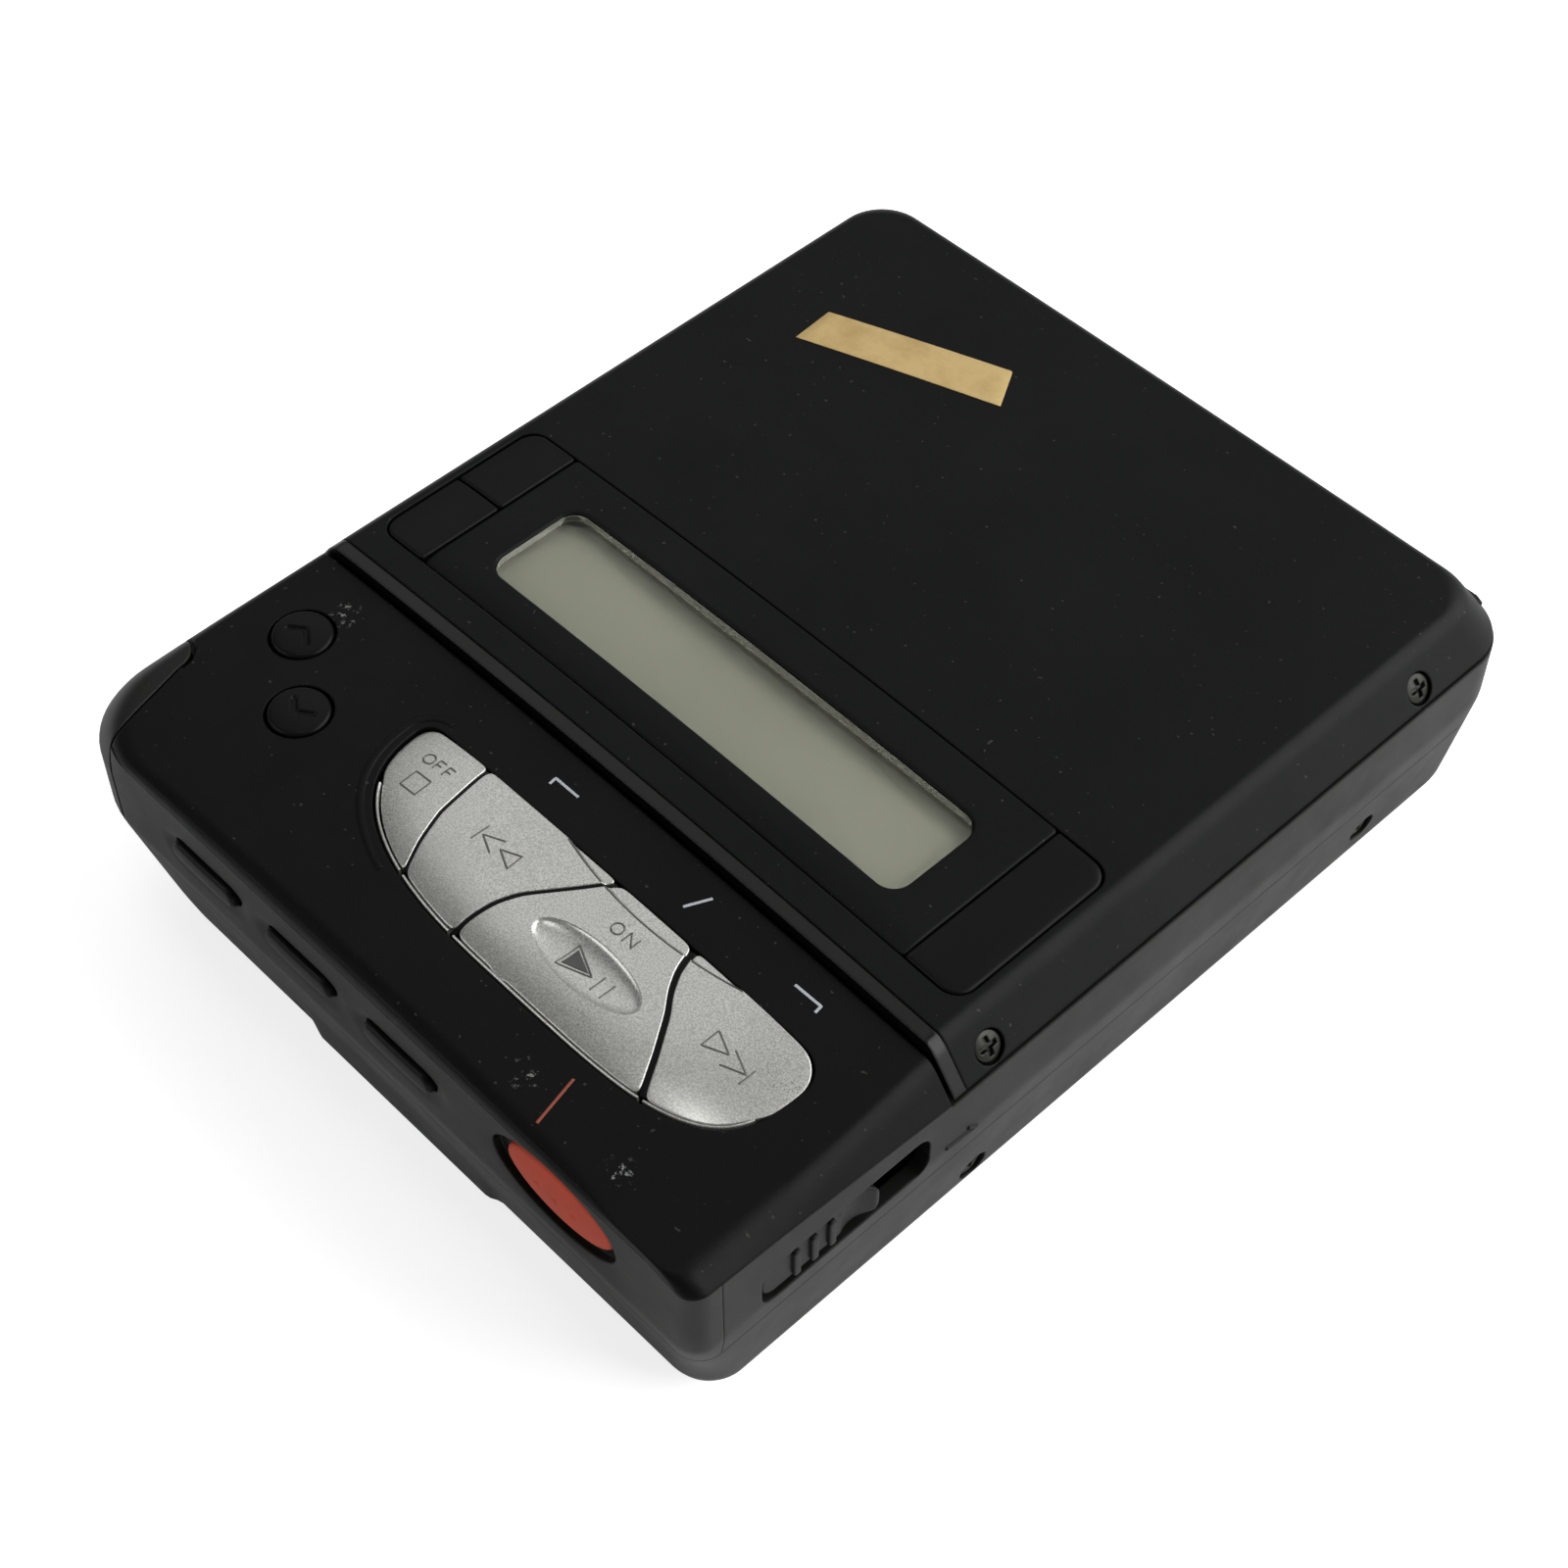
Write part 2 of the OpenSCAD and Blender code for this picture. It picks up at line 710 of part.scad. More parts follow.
module lid_cover() {
    color([0.14, 0.14, 0.14]) difference() {
        union() {
            difference() {
                intersection() {
                    lid_form(0);
                    box([-big, lid_front + lip_d, lid_under], [big, big, big]);
                }
                lid_form(skin);
                for (side = [-1, 1]) mirror([side < 0 ? 1 : 0, 0, 0])
                    bar_x(lug_x - clear, lug_x + lug_w + clear, hinge_y, hinge_z, trough_r);
            }
            lid_barrel();
            intersection() {
                lid_form(0);
                at_lid_screws() bar_x(lid_tab_x1 + 0.1 - lid_screw_x, 0, 0, 0, lid_boss_r);
                box([-big, -big, lid_under], [big, big, big]);
            }
        }
        box([-panel_w / 2 - key_gap, panel_y0 - key_gap, panel_under],
            [panel_w / 2 + key_gap, panel_y1 + key_gap, big]);
        for (side = [0, 1]) mirror([side, 0, 0]) {
            linear_extrude(big) lid_key_plan(key_gap);
            bar_x(lug_x - pin_reach - 0.5, lug_x + lug_w + pin_reach + 0.5, hinge_y, hinge_z,
                pin_r + run_fit);
        }
        at_lid_screws() screw_recess(lid_screw_sink);
    }
}

module lid_lip() {
    color([0.15, 0.15, 0.15]) intersection() {
        lid_form(0);
        box([-big, lid_front, lid_under], [big, lid_front + lip_d, big]);
    }
}

module display_panel() {
    color([0.14, 0.14, 0.14]) difference() {
        union() {
            intersection() {
                lid_form(0);
                box([-panel_w / 2, panel_y0, panel_under - eps], [panel_w / 2, panel_y1, big]);
            }
            box([-panel_w / 2, panel_y0 - flange_d, panel_under - flange_t],
                [panel_w / 2, panel_y1 + flange_d, panel_under]);
        }
        linear_extrude(big) rrect(-window_w / 2, window_w / 2, window_y0, window_y1, window_r);
    }
}

module lcd_window() {
    g = 0.05;
    color([0.7, 0.75, 0.75, 0.5]) intersection() {
        lid_form(0.1);
        translate([0, 0, panel_under + 0.2]) linear_extrude(big)
            rrect(-window_w / 2 + g, window_w / 2 - g, window_y0 + g, window_y1 - g, window_r - g);
    }
}

module lcd_module() {
    color([0.51, 0.52, 0.46])
        box([-window_w / 2 - 1, window_y0 - 1, lid_board_top], [window_w / 2 + 1, window_y1 + 1, lcd_top]);
}

module lid_board() {
    color("darkgreen")
        box([-lid_key_x1, panel_y0 - 0.5, frame_top], [lid_key_x1, panel_y1 + 3, lid_board_top]);
}

// Plate that closes the lid from below, with tabs for the side screws
module lid_frame() {
    color([0.2, 0.2, 0.21]) difference() {
        union() {
            box([-lid_tab_x1, lid_front + lip_d + 0.1, frame_z], [lid_tab_x1, hinge_y - 3.4, frame_top]);
            for (side = [0, 1], y = lid_screw_y) mirror([side, 0, 0])
                box([lid_tab_x1 - lid_tab_t, y - 1.6, frame_z], [lid_tab_x1, y + 1.6, lid_screw_z + 1]);
        }
        box([head_x0, spin_y - head_slot_y, 0], [head_x1, spin_y + head_slot_y, big]);
        at_lid_screws() bar_x(-6, 0, 0, 0, screw_shank_r);
    }
}

// Tray under the lid that takes the cartridge from the front
module cartridge_holder() {
    color("silver") {
        half = holder_half + holder_t;
        difference() {
            box([-half, bay_front, holder_bottom], [half, bay_rear + holder_t, holder_top]);
            box([-holder_half, -big, cart_bottom], [holder_half, bay_rear, cart_top]);
            box([-holder_half + rail_w, -big, 0], [holder_half - rail_w, bay_rear, cart_top]);
            box([head_x0, spin_y - head_slot_y - 1, 0], [head_x1, spin_y + head_slot_y + 1, big]);
        }
        for (x = [-30, 30], y = [bay_front + 6, bay_rear - 8])
            translate([x, y, holder_top - eps]) cylinder(r = 2, h = frame_z - holder_top + eps);
    }
}

module lid_hooks() {
    color("silver") for (x = [-hook_x, hook_x]) {
        x0 = x - hook_w / 2;
        x1 = x + hook_w / 2;
        z0 = latch_z - 1.5;
        box([x0, hook_y, z0], [x1, hook_y + hook_t, lid_under]);
        box([x0, hook_y, z0], [x1, hook_y + hook_t + nose, latch_z - clear]);
        box([x0, hook_y, lid_under - hook_t / 2], [x1, hook_y + 4, lid_under]);
    }
}

module lid_key(y0, y1, side) {
    intersection() {
        lid_form(-lid_key_proud);
        mirror([side < 0 ? 1 : 0, 0, 0]) translate([0, 0, lid_key_z]) linear_extrude(big) intersection() {
            lid_key_plan(0);
            translate([0, y0]) square([big, y1 - y0]);
        }
    }
}

module rear_lid_key() {
    color([0.15, 0.15, 0.15]) lid_key(lid_key_split + key_gap / 2, panel_y1, -1);
}

module front_lid_key() {
    color([0.15, 0.15, 0.15]) lid_key(panel_y0, lid_key_split - key_gap / 2, -1);
}

module enter_key() {
    color([0.15, 0.15, 0.15]) lid_key(panel_y0, panel_y1, 1);
}

// Magnetic head on its slider in the lid, over the pickup
module head_carriage() {
    color("dimgray") {
        box([read_r0 - 4, spin_y - 5, frame_top + 0.1], [read_r0 + 4, spin_y + 5, frame_top + 1.4]);
        box([read_r0 - 2.5, spin_y - head_slot_y + clear, cart_top + 0.2],
            [read_r0 + 2.5, spin_y + head_slot_y - clear, frame_top + 0.2]);
    }
}

module hinge_pins() {
    color("silver") for (side = [-1, 1]) mirror([side < 0 ? 1 : 0, 0, 0])
        bar_x(lug_x - pin_reach, lug_x + lug_w + pin_reach, hinge_y, hinge_z, pin_r);
}

module lid_screws() {
    color("silver") at_lid_screws() translate([-lid_screw_sink, 0, 0]) side_screw(2.1);
}

module body_screws() {
    color("silver") at_body_screws() translate([-body_screw_sink, 0, 0]) side_screw(3.2);
}

// Silver key cluster on the deck: a straight rear edge and a bowed front
cluster_x = 9.5;
cluster_y = y_front + 21.75;
cluster_rear = 0.5;
cluster_rx = 25.3;
cluster_ry = 13.4;
cluster_left_power = 2.6;
cluster_right_power = 4;
cluster_steps = 40;
volume_at = [[-32.6, y_front + 20.85], [-25.2, y_front + 14.75]];

// Lines between the keys, from the rear edge to the front, as steps from the cluster's axis
split_left = [[-7.7, -2], [-7, 5.6], [-4.6, 11.5], [-4, 20]];
split_middle = [[9.6, -2], [7.5, 2.5], [4.6, 6.5], [3.4, 11.1], [3.4, 20]];
split_right = [[18.9, -2], [19.7, 2.2], [22.2, 5.6], [26.6, 12.8], [31, 20]];

function cluster_edge(a, g) =
    let (p = cos(a) < 0 ? cluster_left_power : cluster_right_power)
    [cluster_x + sign(cos(a)) * (cluster_rx + g) * pow(abs(cos(a)), 2 / p),
     cluster_y - (cluster_ry + g) * pow(abs(sin(a)), 2 / p)];

function split_line(points, shift) = [for (p = points) [p[0] + shift, cluster_y - p[1]]];
function turned(points) = [for (i = [len(points) - 1 : -1 : 0]) points[i]];

// Outline of the whole cluster, grown by g
module cluster(g) {
    polygon(concat([[cluster_x - cluster_rx - g, cluster_y + cluster_rear + g]],
        [for (i = [cluster_steps : -1 : 0]) cluster_edge(180 * i / cluster_steps, g)],
        [[cluster_x + cluster_rx + g, cluster_y + cluster_rear + g]]));
}

module between(left, right) {
    polygon(concat(split_line(left, key_gap / 2), turned(split_line(right, -key_gap / 2))));
}

left_end = [[-60, -2], [-60, 20]];
right_end = [[60, -2], [60, 20]];

// One key of the cluster: its cap, and the flange that keeps it in
module cluster_key(left, right) {
    intersection() {
        deck_form(-key_proud);
        translate([0, 0, flange_z]) linear_extrude(big) intersection() {
            cluster(0);
            between(left, right);
        }
    }
    translate([0, 0, flange_z]) linear_extrude(flange_t) intersection() {
        cluster(key_gap + flange_w);
        between(left, right);
    }
}

module stop_key() {
    color("silver") cluster_key(left_end, split_left);
}

module previous_key() {
    color("silver") cluster_key(split_left, split_middle);
}

module play_key() {
    color("silver") cluster_key(split_middle, split_right);
}

module next_key() {
    color("silver") cluster_key(split_right, right_end);
}

module volume_key(at) {
    translate([at[0], at[1], flange_z]) {
        cylinder(r = volume_r, h = deck_top - pow(at[0], 2) / (2 * crown_r) + key_proud - flange_z);
        cylinder(r = volume_r + key_gap + flange_w, h = flange_t);
    }
}

module volume_up_key() {
    color([0.17, 0.17, 0.17]) volume_key(volume_at[0]);
}

module volume_down_key() {
    color([0.17, 0.17, 0.17]) volume_key(volume_at[1]);
}

module front_key(x) {
    translate([x, 0, front_key_z]) {
        slab_y(y_front - front_proud, y_front + wall + 0.1 + flange_t) front_key_outline(0);
        slab_y(y_front + wall + 0.1, y_front + wall + 0.1 + flange_t) front_key_outline(key_gap + flange_w);
    }
}

module left_front_key() {
    color([0.17, 0.17, 0.17]) front_key(front_key_x[0]);
}

module middle_front_key() {
    color([0.17, 0.17, 0.17]) front_key(front_key_x[1]);
}

module right_front_key() {
    color([0.17, 0.17, 0.17]) front_key(front_key_x[2]);
}

module record_key() {
    dome_r = 40;
    color([0.78, 0.3, 0.22]) translate([record_x, 0, record_z]) {
        intersection() {
            slab_y(y_front - 2, y_front + wall + 0.1 + flange_t) polygon(ellipse(record_rx, record_rz));
            translate([0, y_front - front_proud + dome_r, 0]) sphere(r = dome_r, $fn = 200);
        }
        slab_y(y_front + wall + 0.1, y_front + wall + 0.1 + flange_t)
            polygon(ellipse(record_rx + key_gap + flange_w, record_rz + key_gap + flange_w));
    }
}

module front_board() {
    color("darkgreen") box([-30, front_board_y, lid_z - 6.5],
        [x_half - 7.5, front_board_y + key_board_t, lid_z + 2]);
}

key_area = [[battery_x0 + 3.5, case_y0 + 1], [x_half - 6, deck_rear - skin - 0.8]];

module key_board() {
    color("darkgreen") box([key_area[0][0], key_area[0][1], key_board_z],
        [key_area[1][0], key_area[1][1], mat_z]);
}

module key_mat() {
    color("dimgray") box([key_area[0][0], key_area[0][1], mat_z],
        [key_area[1][0], key_area[1][1], mat_z + mat_t]);
}

// Pieces on the case floor and the drive
module main_board() {
    color("darkgreen") difference() {
        box([-x_half + 6.5, y_front + 9, board_z], [x_half - 6.5, y_rear - 9, board_top]);
        for (x = damper_x, y = damper_y) translate([x, y, 0]) cylinder(r = post_r + 0.2, h = 20);
    }
}

// Middle and width of each chip
chips = [[-14, -34, 12], [6, -34, 10], [22, -34, 8], [-16, 42, 10], [4, -16, 9]];
chip_h = 1.2;

module board_chips() {
    color([0.1, 0.1, 0.1]) for (chip = chips)
        box([chip[0] - chip[2] / 2, chip[1] - chip[2] / 2, board_top],
            [chip[0] + chip[2] / 2, chip[1] + chip[2] / 2, board_top + chip_h]);
}

module drive_chassis() {
    color("silver") difference() {
        union() {
            box([-26, damper_y[0] - 3, chassis_z], [damper_x[1] + 3.2, damper_y[1] + 3, chassis_top]);
            box([0, spin_y - 17, chassis_z], [rod_x1 + 0.4, spin_y + 13, chassis_top]);
            for (y = [spin_y - rod_y, spin_y + rod_y, screw_y], x = [rod_x0, rod_x1 - lug_t])
                box([x, y - 1.6, rod_z - 1.8], [x + lug_t, y + 1.6, rod_z + 1.8]);
        }
        box([rod_x0 + lug_t, spin_y - 16.2, 0], [rod_x1 - lug_t, spin_y + 12, big]);
        for (y = [spin_y - rod_y, spin_y + rod_y]) bar_x(-big, big, y, rod_z, rod_r);
        bar_x(-big, big, screw_y, rod_z, screw_r + run_fit);
        translate([0, spin_y, 0]) cylinder(r = 3, h = big);
        for (x = damper_x, y = damper_y) translate([x, y, 0]) cylinder(r = shank_r + 0.1, h = big);
        box([rod_x0 - motor_l - 1, screw_y - motor_r - clear, 0], [rod_x0, screw_y + motor_r + clear, big]);
    }
}

module rubber_dampers() {
    color([0.08, 0.08, 0.08]) for (x = damper_x, y = damper_y) translate([x, y, damper_z]) difference() {
        cylinder(r = post_r, h = damper_t);
        translate([0, 0, -1]) cylinder(r = shank_r + 0.1, h = damper_t + 2);
    }
}

module chassis_screws() {
    color("silver") for (x = damper_x, y = damper_y) translate([x, y, 0]) {
        translate([0, 0, damper_z - 3]) cylinder(r = shank_r, h = chassis_top - damper_z + 3);
        translate([0, 0, chassis_top]) cylinder(r = 1.5, h = 0.7);
    }
}

shaft_r = 0.8;

module spindle_motor() {
    color("silver") translate([0, spin_y, 0]) difference() {
        translate([0, 0, chassis_z - 2.6]) cylinder(r = turntable_r, h = 2.6);
        translate([0, 0, chassis_z - 1.8]) cylinder(r = shaft_r + run_fit, h = 5);
    }
}

module turntable() {
    color("silver") translate([0, spin_y, 0]) {
        translate([0, 0, chassis_z - 1.7]) cylinder(r = shaft_r, h = cart_bottom - chassis_z + 1.6);
        translate([0, 0, chassis_top + 0.3]) cylinder(r = turntable_r, h = 1);
        translate([0, 0, chassis_top + 1]) cylinder(r = 4, h = cart_bottom - chassis_top - 1.8);
        translate([0, 0, chassis_top + 1]) cylinder(r = 2, h = cart_bottom - chassis_top - 1.1);
    }
}

module pickup_sled() {
    color([0.3, 0.3, 0.32]) difference() {
        union() {
            box([read_r0 - sled_half, spin_y - sled_y, sled_z0],
                [read_r0 + sled_half, spin_y + sled_y, sled_z1]);
            box([read_r0 - 2.5, screw_y - 1.8, rod_z - 1.8],
                [read_r0 + 2.5, spin_y - sled_y + eps, rod_z + 1.8]);
        }
        for (y = [spin_y - rod_y, spin_y + rod_y]) bar_x(-big, big, y, rod_z, rod_r + run_fit);
        bar_x(-big, big, screw_y, rod_z, screw_r + run_fit);
        translate([read_r0, spin_y, sled_z1 - 1]) cylinder(r = lens_r, h = 5);
    }
}

lens_r = 2.2;

module objective_lens() {
    color([0.5, 0.55, 0.7]) translate([read_r0, spin_y, sled_z1 - 1]) intersection() {
        cylinder(r = lens_r, h = cart_bottom - sled_z1);
        translate([0, 0, cart_bottom - sled_z1 - 6]) sphere(r = 6);
    }
}

module guide_rods() {
    color("silver") for (y = [spin_y - rod_y, spin_y + rod_y]) bar_x(rod_x0, rod_x1, y, rod_z, rod_r);
}

motor_r = 2.6;
motor_l = 11;

module lead_screw() {
    color("silver") bar_x(rod_x0 - 2, rod_x1, screw_y, rod_z, screw_r);
}

module sled_motor() {
    color("silver") difference() {
        bar_x(rod_x0 - motor_l, rod_x0, screw_y, rod_z, motor_r);
        bar_x(rod_x0 - 3, rod_x0 + 1, screw_y, rod_z, screw_r + run_fit);
    }
}

// Socket block on the main board: a square housing, a round nose and a bore along X
module socket_block(y, r, nose_r) {
    difference() {
        union() {
            box([jack_x1 + 2, y - 3.2, board_top], [jack_x1 + jack_depth + 1, y + 3.2, jack_z + 3.2]);
            bar_x(jack_x1, jack_x1 + 3, y, jack_z, nose_r);
        }
        bar_x(jack_x1 - 1, jack_x1 + jack_depth, y, jack_z, r);
    }
}

module audio_jacks() {
    color([0.1, 0.1, 0.1]) for (i = [0 : 2]) socket_block(jack_y0 + i * jack_pitch, jack_r, jack_nose_r);
}

module power_jack() {
    y = jack_y0 + 3 * jack_pitch;
    color([0.1, 0.1, 0.1]) {
        socket_block(y, power_r, power_r + 0.7);
        bar_x(jack_x1 + 2, jack_x1 + jack_depth + eps, y, jack_z, 0.5);
    }
}

bottom_case();
mid_frame();
front_panel();
deck_cover();
battery_door();
door_pin();
battery_case();
battery_pack();
battery_contacts();
eject_slider();
latch_plate();
eject_spring();
lid_cover();
lid_lip();
display_panel();
lcd_window();
lcd_module();
lid_board();
lid_frame();
cartridge_holder();
lid_hooks();
rear_lid_key();
front_lid_key();
enter_key();
head_carriage();
hinge_pins();
stop_key();
previous_key();
play_key();
next_key();
volume_up_key();
volume_down_key();
left_front_key();
middle_front_key();
right_front_key();
record_key();
front_board();
key_board();
key_mat();
main_board();
board_chips();
drive_chassis();
rubber_dampers();
chassis_screws();
spindle_motor();
turntable();
pickup_sled();
objective_lens();
guide_rods();
lead_screw();
sled_motor();
audio_jacks();
power_jack();
lid_screws();
body_screws();
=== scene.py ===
"""Pocket disc recorder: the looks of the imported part, in metres and in the part's own frame."""
import json
import math

import bpy
import numpy as np
from mathutils import Matrix, Vector


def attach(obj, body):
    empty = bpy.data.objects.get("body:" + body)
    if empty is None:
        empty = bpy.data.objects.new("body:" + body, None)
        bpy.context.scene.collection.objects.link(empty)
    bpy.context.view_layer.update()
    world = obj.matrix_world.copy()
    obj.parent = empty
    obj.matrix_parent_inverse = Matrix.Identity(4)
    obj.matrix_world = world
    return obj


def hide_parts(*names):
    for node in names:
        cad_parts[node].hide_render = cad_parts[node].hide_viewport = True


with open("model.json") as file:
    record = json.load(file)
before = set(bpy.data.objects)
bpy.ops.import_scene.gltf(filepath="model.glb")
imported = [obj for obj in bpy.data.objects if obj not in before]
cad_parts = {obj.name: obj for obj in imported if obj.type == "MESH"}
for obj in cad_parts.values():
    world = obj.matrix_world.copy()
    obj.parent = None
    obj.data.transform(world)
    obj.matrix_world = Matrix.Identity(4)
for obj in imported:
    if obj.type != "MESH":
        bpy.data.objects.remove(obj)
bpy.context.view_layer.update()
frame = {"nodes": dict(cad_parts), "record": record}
scene = bpy.context.scene
MM = 0.001

# Main lines of the part in millimetres, as in its source
X_HALF = 42.5
Y_FRONT, Y_REAR = -52.75, 52.75
DECK_REAR, LID_FRONT = -23.7, -23.2
LID_Z, BODY_TOP, LID_UNDER = 22.0, 21.65, 22.25
LID_TOP, DECK_TOP = 27.9, 26.9
CROWN_R = 700.0
CORNER, DOOR_CORNER, LID_CORNER = 6.0, 9.0, 4.8
SHOULDER, REAR_SHOULDER, SLOPE_H = 2.8, 2.4, 4.0
SEAM_Z, BELT_Z, END_LEAN, SIDE_LEAN = 12.5, 16.0, 3.9, 2.4
WALL, SKIN, LID_GAP = 1.5, 1.1, 0.175
HINGE, HINGE_R, HINGE_ROOM = (51.3, 21.2), 1.4, 1.75
LUG_IN, LUG_OUT, LUG_GAP = 32.3, 35.8, 0.3
DOOR_PIVOT, DOOR_LOW, DOOR_GAP = (-40.0, -42.2), 13.7, 0.3
PANEL_WRAP, WRAP_GAP = -49.5, 0.04
JACK_Z = 7.6

# Forms that only the scene has: the rising deck edge, its seam at the front right corner, the rounder base
EDGE_RISE = 2.6
SEAM_Y, SEAM_LINE = -51.25, [(60, 24.2), (41.5, 24.2), (37.0, 25.2)]
REAR_LEAN, BASE_ROUND, FOOT_HALF = 0.8, 4.0, 12.5

# How far cutters reach past the part: outwards, along its depth, down and up
OUT, FAR, LOW, HIGH = 60, 90, 10.0, 40.0


class Nodes:
    """A material's node tree, with short calls for the nodes that the finishes below use."""

    def __init__(self, name):
        self.mat = bpy.data.materials.new(name)
        self.mat.use_nodes = True
        self.tree = self.mat.node_tree
        self.shader = self.tree.nodes["Principled BSDF"]
        self.place = self.new("ShaderNodeTexCoord").outputs["Object"]

    def new(self, kind, **props):
        """Adds a node with these properties."""
        node = self.tree.nodes.new(kind)
        for key, value in props.items():
            setattr(node, key, value)
        return node

    def link(self, out, socket):
        self.tree.links.new(out, socket)

    def put(self, **values):
        """Sets plain values on the shader's own sockets."""
        for key, value in values.items():
            self.shader.inputs[key.replace("_", " ")].default_value = value

    def feed(self, **outs):
        """Links outputs to the shader's own sockets."""
        for key, out in outs.items():
            self.link(out, self.shader.inputs[key.replace("_", " ")])

    def noise(self, scale, detail=3.0, rough=0.55, stretch=None):
        """Noise on the part's own coordinates; stretch scales each axis first."""
        at = self.place
        if stretch:
            mapping = self.new("ShaderNodeMapping")
            mapping.inputs["Scale"].default_value = stretch
            self.link(at, mapping.inputs["Vector"])
            at = mapping.outputs["Vector"]
        node = self.new("ShaderNodeTexNoise")
        node.inputs["Scale"].default_value = scale
        node.inputs["Detail"].default_value = detail
        node.inputs["Roughness"].default_value = rough
        self.link(at, node.inputs["Vector"])
        return node.outputs["Fac"]

    def span(self, fac, lo, hi, out_lo=0.0, out_hi=1.0):
        """Maps lo to hi onto out_lo to out_hi, held at both ends."""
        node = self.new("ShaderNodeMapRange")
        for key, value in zip(("From Min", "From Max", "To Min", "To Max"), (lo, hi, out_lo, out_hi)):
            node.inputs[key].default_value = value
        self.link(fac, node.inputs["Value"])
        return node.outputs["Result"]

    def math(self, what, a, b):
        """One sum on two values, each a number or an output."""
        node = self.new("ShaderNodeMath", operation=what)
        for socket, value in zip(node.inputs, (a, b)):
            if isinstance(value, (int, float)):
                socket.default_value = value
            else:
                self.link(value, socket)
        return node.outputs["Value"]

    def blend(self, fac, a, b):
        """Colour from a to b by fac."""
        node = self.new("ShaderNodeMix", data_type="RGBA")
        self.link(fac, node.inputs[0])
        for socket, value in ((node.inputs[6], a), (node.inputs[7], b)):
            if isinstance(value, tuple):
                socket.default_value = (*value, 1.0)
            else:
                self.link(value, socket)
        return node.outputs[2]

    def bump(self, height, strength, distance, under=None):
        """Normals tilted by a height, over the normals given as under."""
        node = self.new("ShaderNodeBump")
        node.inputs["Strength"].default_value = strength
        node.inputs["Distance"].default_value = distance
        self.link(height, node.inputs["Height"])
        if under:
            self.link(under, node.inputs["Normal"])
        return node.outputs["Normal"]

    def soft_edge(self, radius):
        """Normals rounded over the edges within this radius."""
        node = self.new("ShaderNodeBevel", samples=6)
        node.inputs["Radius"].default_value = radius
        return node.outputs["Normal"]


def srgb(r, g, b):
    """Linear colour of an sRGB colour given in 0 to 255."""
    c = np.array([r, g, b]) / 255.0
    return tuple(np.where(c <= 0.04045, c / 12.92, ((c + 0.055) / 1.055) ** 2.4).tolist())


def scuff_mask(n, spots):
    """Pale specks that crowd together inside a few round spots, each x, y, z and radius in millimetres."""
    total = None
    for x, y, z, radius in spots:
        away = n.new("ShaderNodeVectorMath", operation="DISTANCE")
        n.link(n.place, away.inputs[0])
        away.inputs[1].default_value = (x * MM, y * MM, z * MM)
        here = n.span(away.outputs["Value"], radius * MM, 0.2 * radius * MM)
        total = here if total is None else n.math("MAXIMUM", total, here)
    return n.math("MULTIPLY", total, n.span(n.noise(1700.0, 4.0, 0.7), 0.57, 0.63))


EDGE_SOFT, EDGE_WORN = 0.0003, 0.12
GRAIN, GRAIN_DEPTH = 5200.0, 0.00004


def moulded_plastic(name, base, rough, grain, sheen=0.35, smudge=0.5, spots=(), dust=0.0):
    """Moulded plastic: fine spark grain in the bump, faint handling marks in roughness and colour, and edges
    rubbed paler where the rounded normal turns away from the face's own."""
    n = Nodes(name)
    smear = n.span(n.noise(55.0, 5.0, 0.6), 0.35, 0.75)
    cloud = n.noise(240.0, 4.0, 0.6)
    pale = tuple(min(1.0, c * 1.9 + 0.004) for c in base)
    tone = n.blend(n.math("MULTIPLY", smear, smudge), base, pale)
    eased = n.soft_edge(EDGE_SOFT)
    turn = n.new("ShaderNodeVectorMath", operation="DOT_PRODUCT")
    n.link(eased, turn.inputs[0])
    n.link(n.new("ShaderNodeNewGeometry").outputs["Normal"], turn.inputs[1])
    rub = n.span(turn.outputs["Value"], 0.985, 0.90)
    rub = n.math("MULTIPLY", rub, n.span(cloud, 0.42, 0.62, 0.0, EDGE_WORN))
    tone = n.blend(rub, tone, tuple(c * 3.0 + 0.03 for c in base))
    if dust:
        specks = n.span(n.noise(2300.0, 0.0), 0.82, 0.86, 0.0, dust)
        tone = n.blend(specks, tone, srgb(120, 120, 114))
    if spots:
        tone = n.blend(n.math("MULTIPLY", scuff_mask(n, spots), 0.9), tone, srgb(150, 152, 150))
    gloss = n.span(smear, 0.0, 1.0, rough + 0.03, rough - 0.05)
    n.feed(Base_Color=tone,
           Roughness=n.math("ADD", gloss, n.span(cloud, 0.3, 0.7, -0.03, 0.03)),
           Normal=n.bump(n.noise(GRAIN, 2.0, 0.5), grain, GRAIN_DEPTH, eased))
    n.put(Specular_IOR_Level=sheen)
    return n.mat


def satin_silver(name):
    """Silver paint on plastic: bright flake in the colour, satin roughness that wanders, rounded edges."""
    n = Nodes(name)
    flake = n.noise(6500.0, 1.0, 0.4)
    cloud = n.noise(160.0, 4.0, 0.6)
    tone = n.blend(n.span(flake, 0.35, 0.65), srgb(182, 182, 177), srgb(218, 218, 214))
    satin = n.span(cloud, 0.3, 0.7, 0.26, 0.31)
    n.feed(Base_Color=n.blend(n.span(cloud, 0.45, 0.8, 0.0, 0.35), tone, srgb(184, 183, 178)),
           Roughness=n.math("ADD", satin, n.span(flake, 0.3, 0.7, 0.0, 0.06)),
           Normal=n.bump(flake, 0.1, 0.00003, n.soft_edge(0.0001)))
    n.put(Metallic=0.85)
    return n.mat


